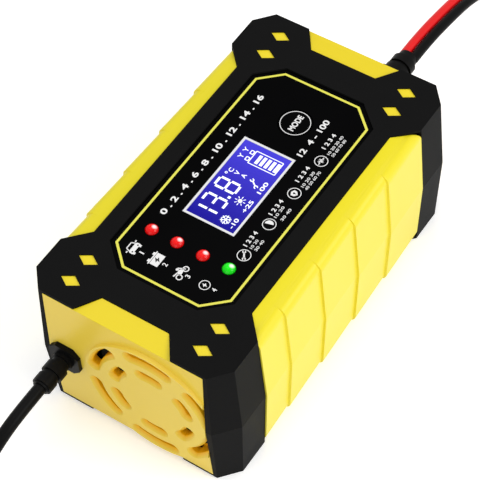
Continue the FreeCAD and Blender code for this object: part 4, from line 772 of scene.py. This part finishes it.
# things that repeat come from one Geometry Nodes tree: copies of a bar in a row
def rowTree(name):
    tree = bpy.data.node_groups.new(name, "GeometryNodeTree")
    face = tree.interface
    face.new_socket("Geometry", in_out="OUTPUT", socket_type="NodeSocketGeometry")
    for label, kind in (("Count", "NodeSocketInt"), ("First", "NodeSocketVector"),
                        ("Step", "NodeSocketVector"), ("Bar Size", "NodeSocketVector"),
                        ("Finish", "NodeSocketMaterial")):
        face.new_socket(label, in_out="INPUT", socket_type=kind)
    nodes, links = tree.nodes, tree.links
    given, result = nodes.new("NodeGroupInput"), nodes.new("NodeGroupOutput")
    line = nodes.new("GeometryNodeMeshLine")
    bar = nodes.new("GeometryNodeMeshCube")
    spread = nodes.new("GeometryNodeInstanceOnPoints")
    real = nodes.new("GeometryNodeRealizeInstances")
    paint = nodes.new("GeometryNodeSetMaterial")
    links.new(given.outputs["Count"], line.inputs["Count"])
    links.new(given.outputs["First"], line.inputs["Start Location"])
    links.new(given.outputs["Step"], line.inputs["Offset"])
    links.new(given.outputs["Bar Size"], bar.inputs["Size"])
    links.new(line.outputs["Mesh"], spread.inputs["Points"])
    links.new(bar.outputs["Mesh"], spread.inputs["Instance"])
    links.new(spread.outputs["Instances"], real.inputs["Geometry"])
    links.new(real.outputs["Geometry"], paint.inputs["Geometry"])
    links.new(given.outputs["Finish"], paint.inputs["Material"])
    links.new(paint.outputs["Geometry"], result.inputs["Geometry"])
    return tree


rows = rowTree("barRow")


def barRow(name, material, body, count, first, step, size):
    holder = bpy.data.objects.new(name + "Maker", bpy.data.meshes.new(name + "Maker"))
    collection.objects.link(holder)
    modifier = holder.modifiers.new("row", "NODES")
    modifier.node_group = rows
    values = {"Count": count, "First": [c * mm for c in first], "Step": [c * mm for c in step],
              "Bar Size": [c * mm for c in size], "Finish": material}
    for socket in rows.interface.items_tree:
        if socket.in_out == "INPUT":
            modifier[socket.identifier] = values[socket.name]
    mesh = bpy.data.meshes.new_from_object(holder.evaluated_get(bpy.context.evaluated_depsgraph_get()))
    holder.modifiers.clear()
    bpy.data.objects.remove(holder)
    piece = bpy.data.objects.new(name, mesh)
    collection.objects.link(piece)
    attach(piece, body)


levelBars = {"count": 5, "first": (-2.0, 12.65, 65.065), "step": (2.0, 0.0, 0.0), "size": (1.3, 4.4, 0.03)}
barRow("screenLevelBars", screenInk, "charger", **levelBars)
print("repeated bars ready")


# floor, lights and surroundings
studio = {
    "floorReach": 3.0,
    "floorColour": (0.93, 0.93, 0.93),
    "floorGlow": 0.3,
    "worldStrength": 0.58,
    "aim": (0.0, 0.0, 0.03),    # the lamps point at the case's middle
    "lamps": [
        ("sideLamp", (0.95, 0.15, 0.75), 0.7, 5.9, (1.0, 0.99, 0.97)),
        ("topLamp", (-0.2, 0.1, 1.1), 0.9, 2.6, (1.0, 1.0, 1.0)),
        ("endLamp", (0.1, -1.1, 0.45), 0.8, 2.1, (1.0, 0.97, 0.92)),
    ],
}


def seenRays(tree):
    # 1 for what the camera, a mirror or glass sees, 0 for what lights the object
    seen = tree.add("ShaderNodeLightPath", {}, {}, "Is Camera Ray")
    for ray in ("Is Glossy Ray", "Is Transmission Ray"):
        more = tree.add("ShaderNodeLightPath", {}, {}, ray)
        seen = tree.add("ShaderNodeMath", {"operation": "MAXIMUM"}, {0: seen, 1: more})
    return seen


def makeFloor():
    mesh = bpy.data.meshes.new("floor")
    far = studio["floorReach"]
    mesh.from_pydata([(-far, -far, 0), (far, -far, 0), (far, far, 0), (-far, far, 0)], [], [(0, 1, 2, 3)])
    floor = bpy.data.objects.new("floor", mesh)
    collection.objects.link(floor)
    finish = Finish("floorPaper")
    seen = seenRays(finish)
    paper = finish.noise(90.0, 4.0, 0.6)
    tone = finish.mix(paper * 0.05, (0.95, 0.95, 0.95), studio["floorColour"])
    finish.set(Base_Color=finish.mix(seen, tone, (1.0, 1.0, 1.0)), Roughness=0.85 + paper * 0.1,
               Emission_Color=finish.mix(seen, (0.0, 0.0, 0.0), (1.0, 1.0, 1.0)))
    finish.shader.inputs["Emission Strength"].default_value = studio["floorGlow"]
    finish.shader.inputs["Specular IOR Level"].default_value = 0.1
    dress(floor, finish.material)


def makeLamps():
    for name, place, size, power, colour in studio["lamps"]:
        data = bpy.data.lights.new(name, "AREA")
        data.size = size
        data.energy = power
        data.color = colour
        lamp = bpy.data.objects.new(name, data)
        lamp.location = place
        lamp.rotation_euler = (Vector(place) - Vector(studio["aim"])).to_track_quat("Z", "Y").to_euler()
        collection.objects.link(lamp)


def makeWorld():
    world = bpy.data.worlds.new("studioWorld")
    bpy.context.scene.world = world
    sky = Tree(world)
    level = sky.add("ShaderNodeMapRange", {}, {"Value": seenRays(sky), "To Min": studio["worldStrength"],
                                               "To Max": 1.0})
    back = sky.nodes["Background"]
    sky.plug(back.inputs["Strength"], level)
    sky.plug(back.inputs["Color"], (1.0, 1.0, 1.0))


makeFloor()
makeLamps()
makeWorld()
bpy.context.scene.view_settings.view_transform = "Standard"
print("studio ready")

bpy.context.view_layer.update()
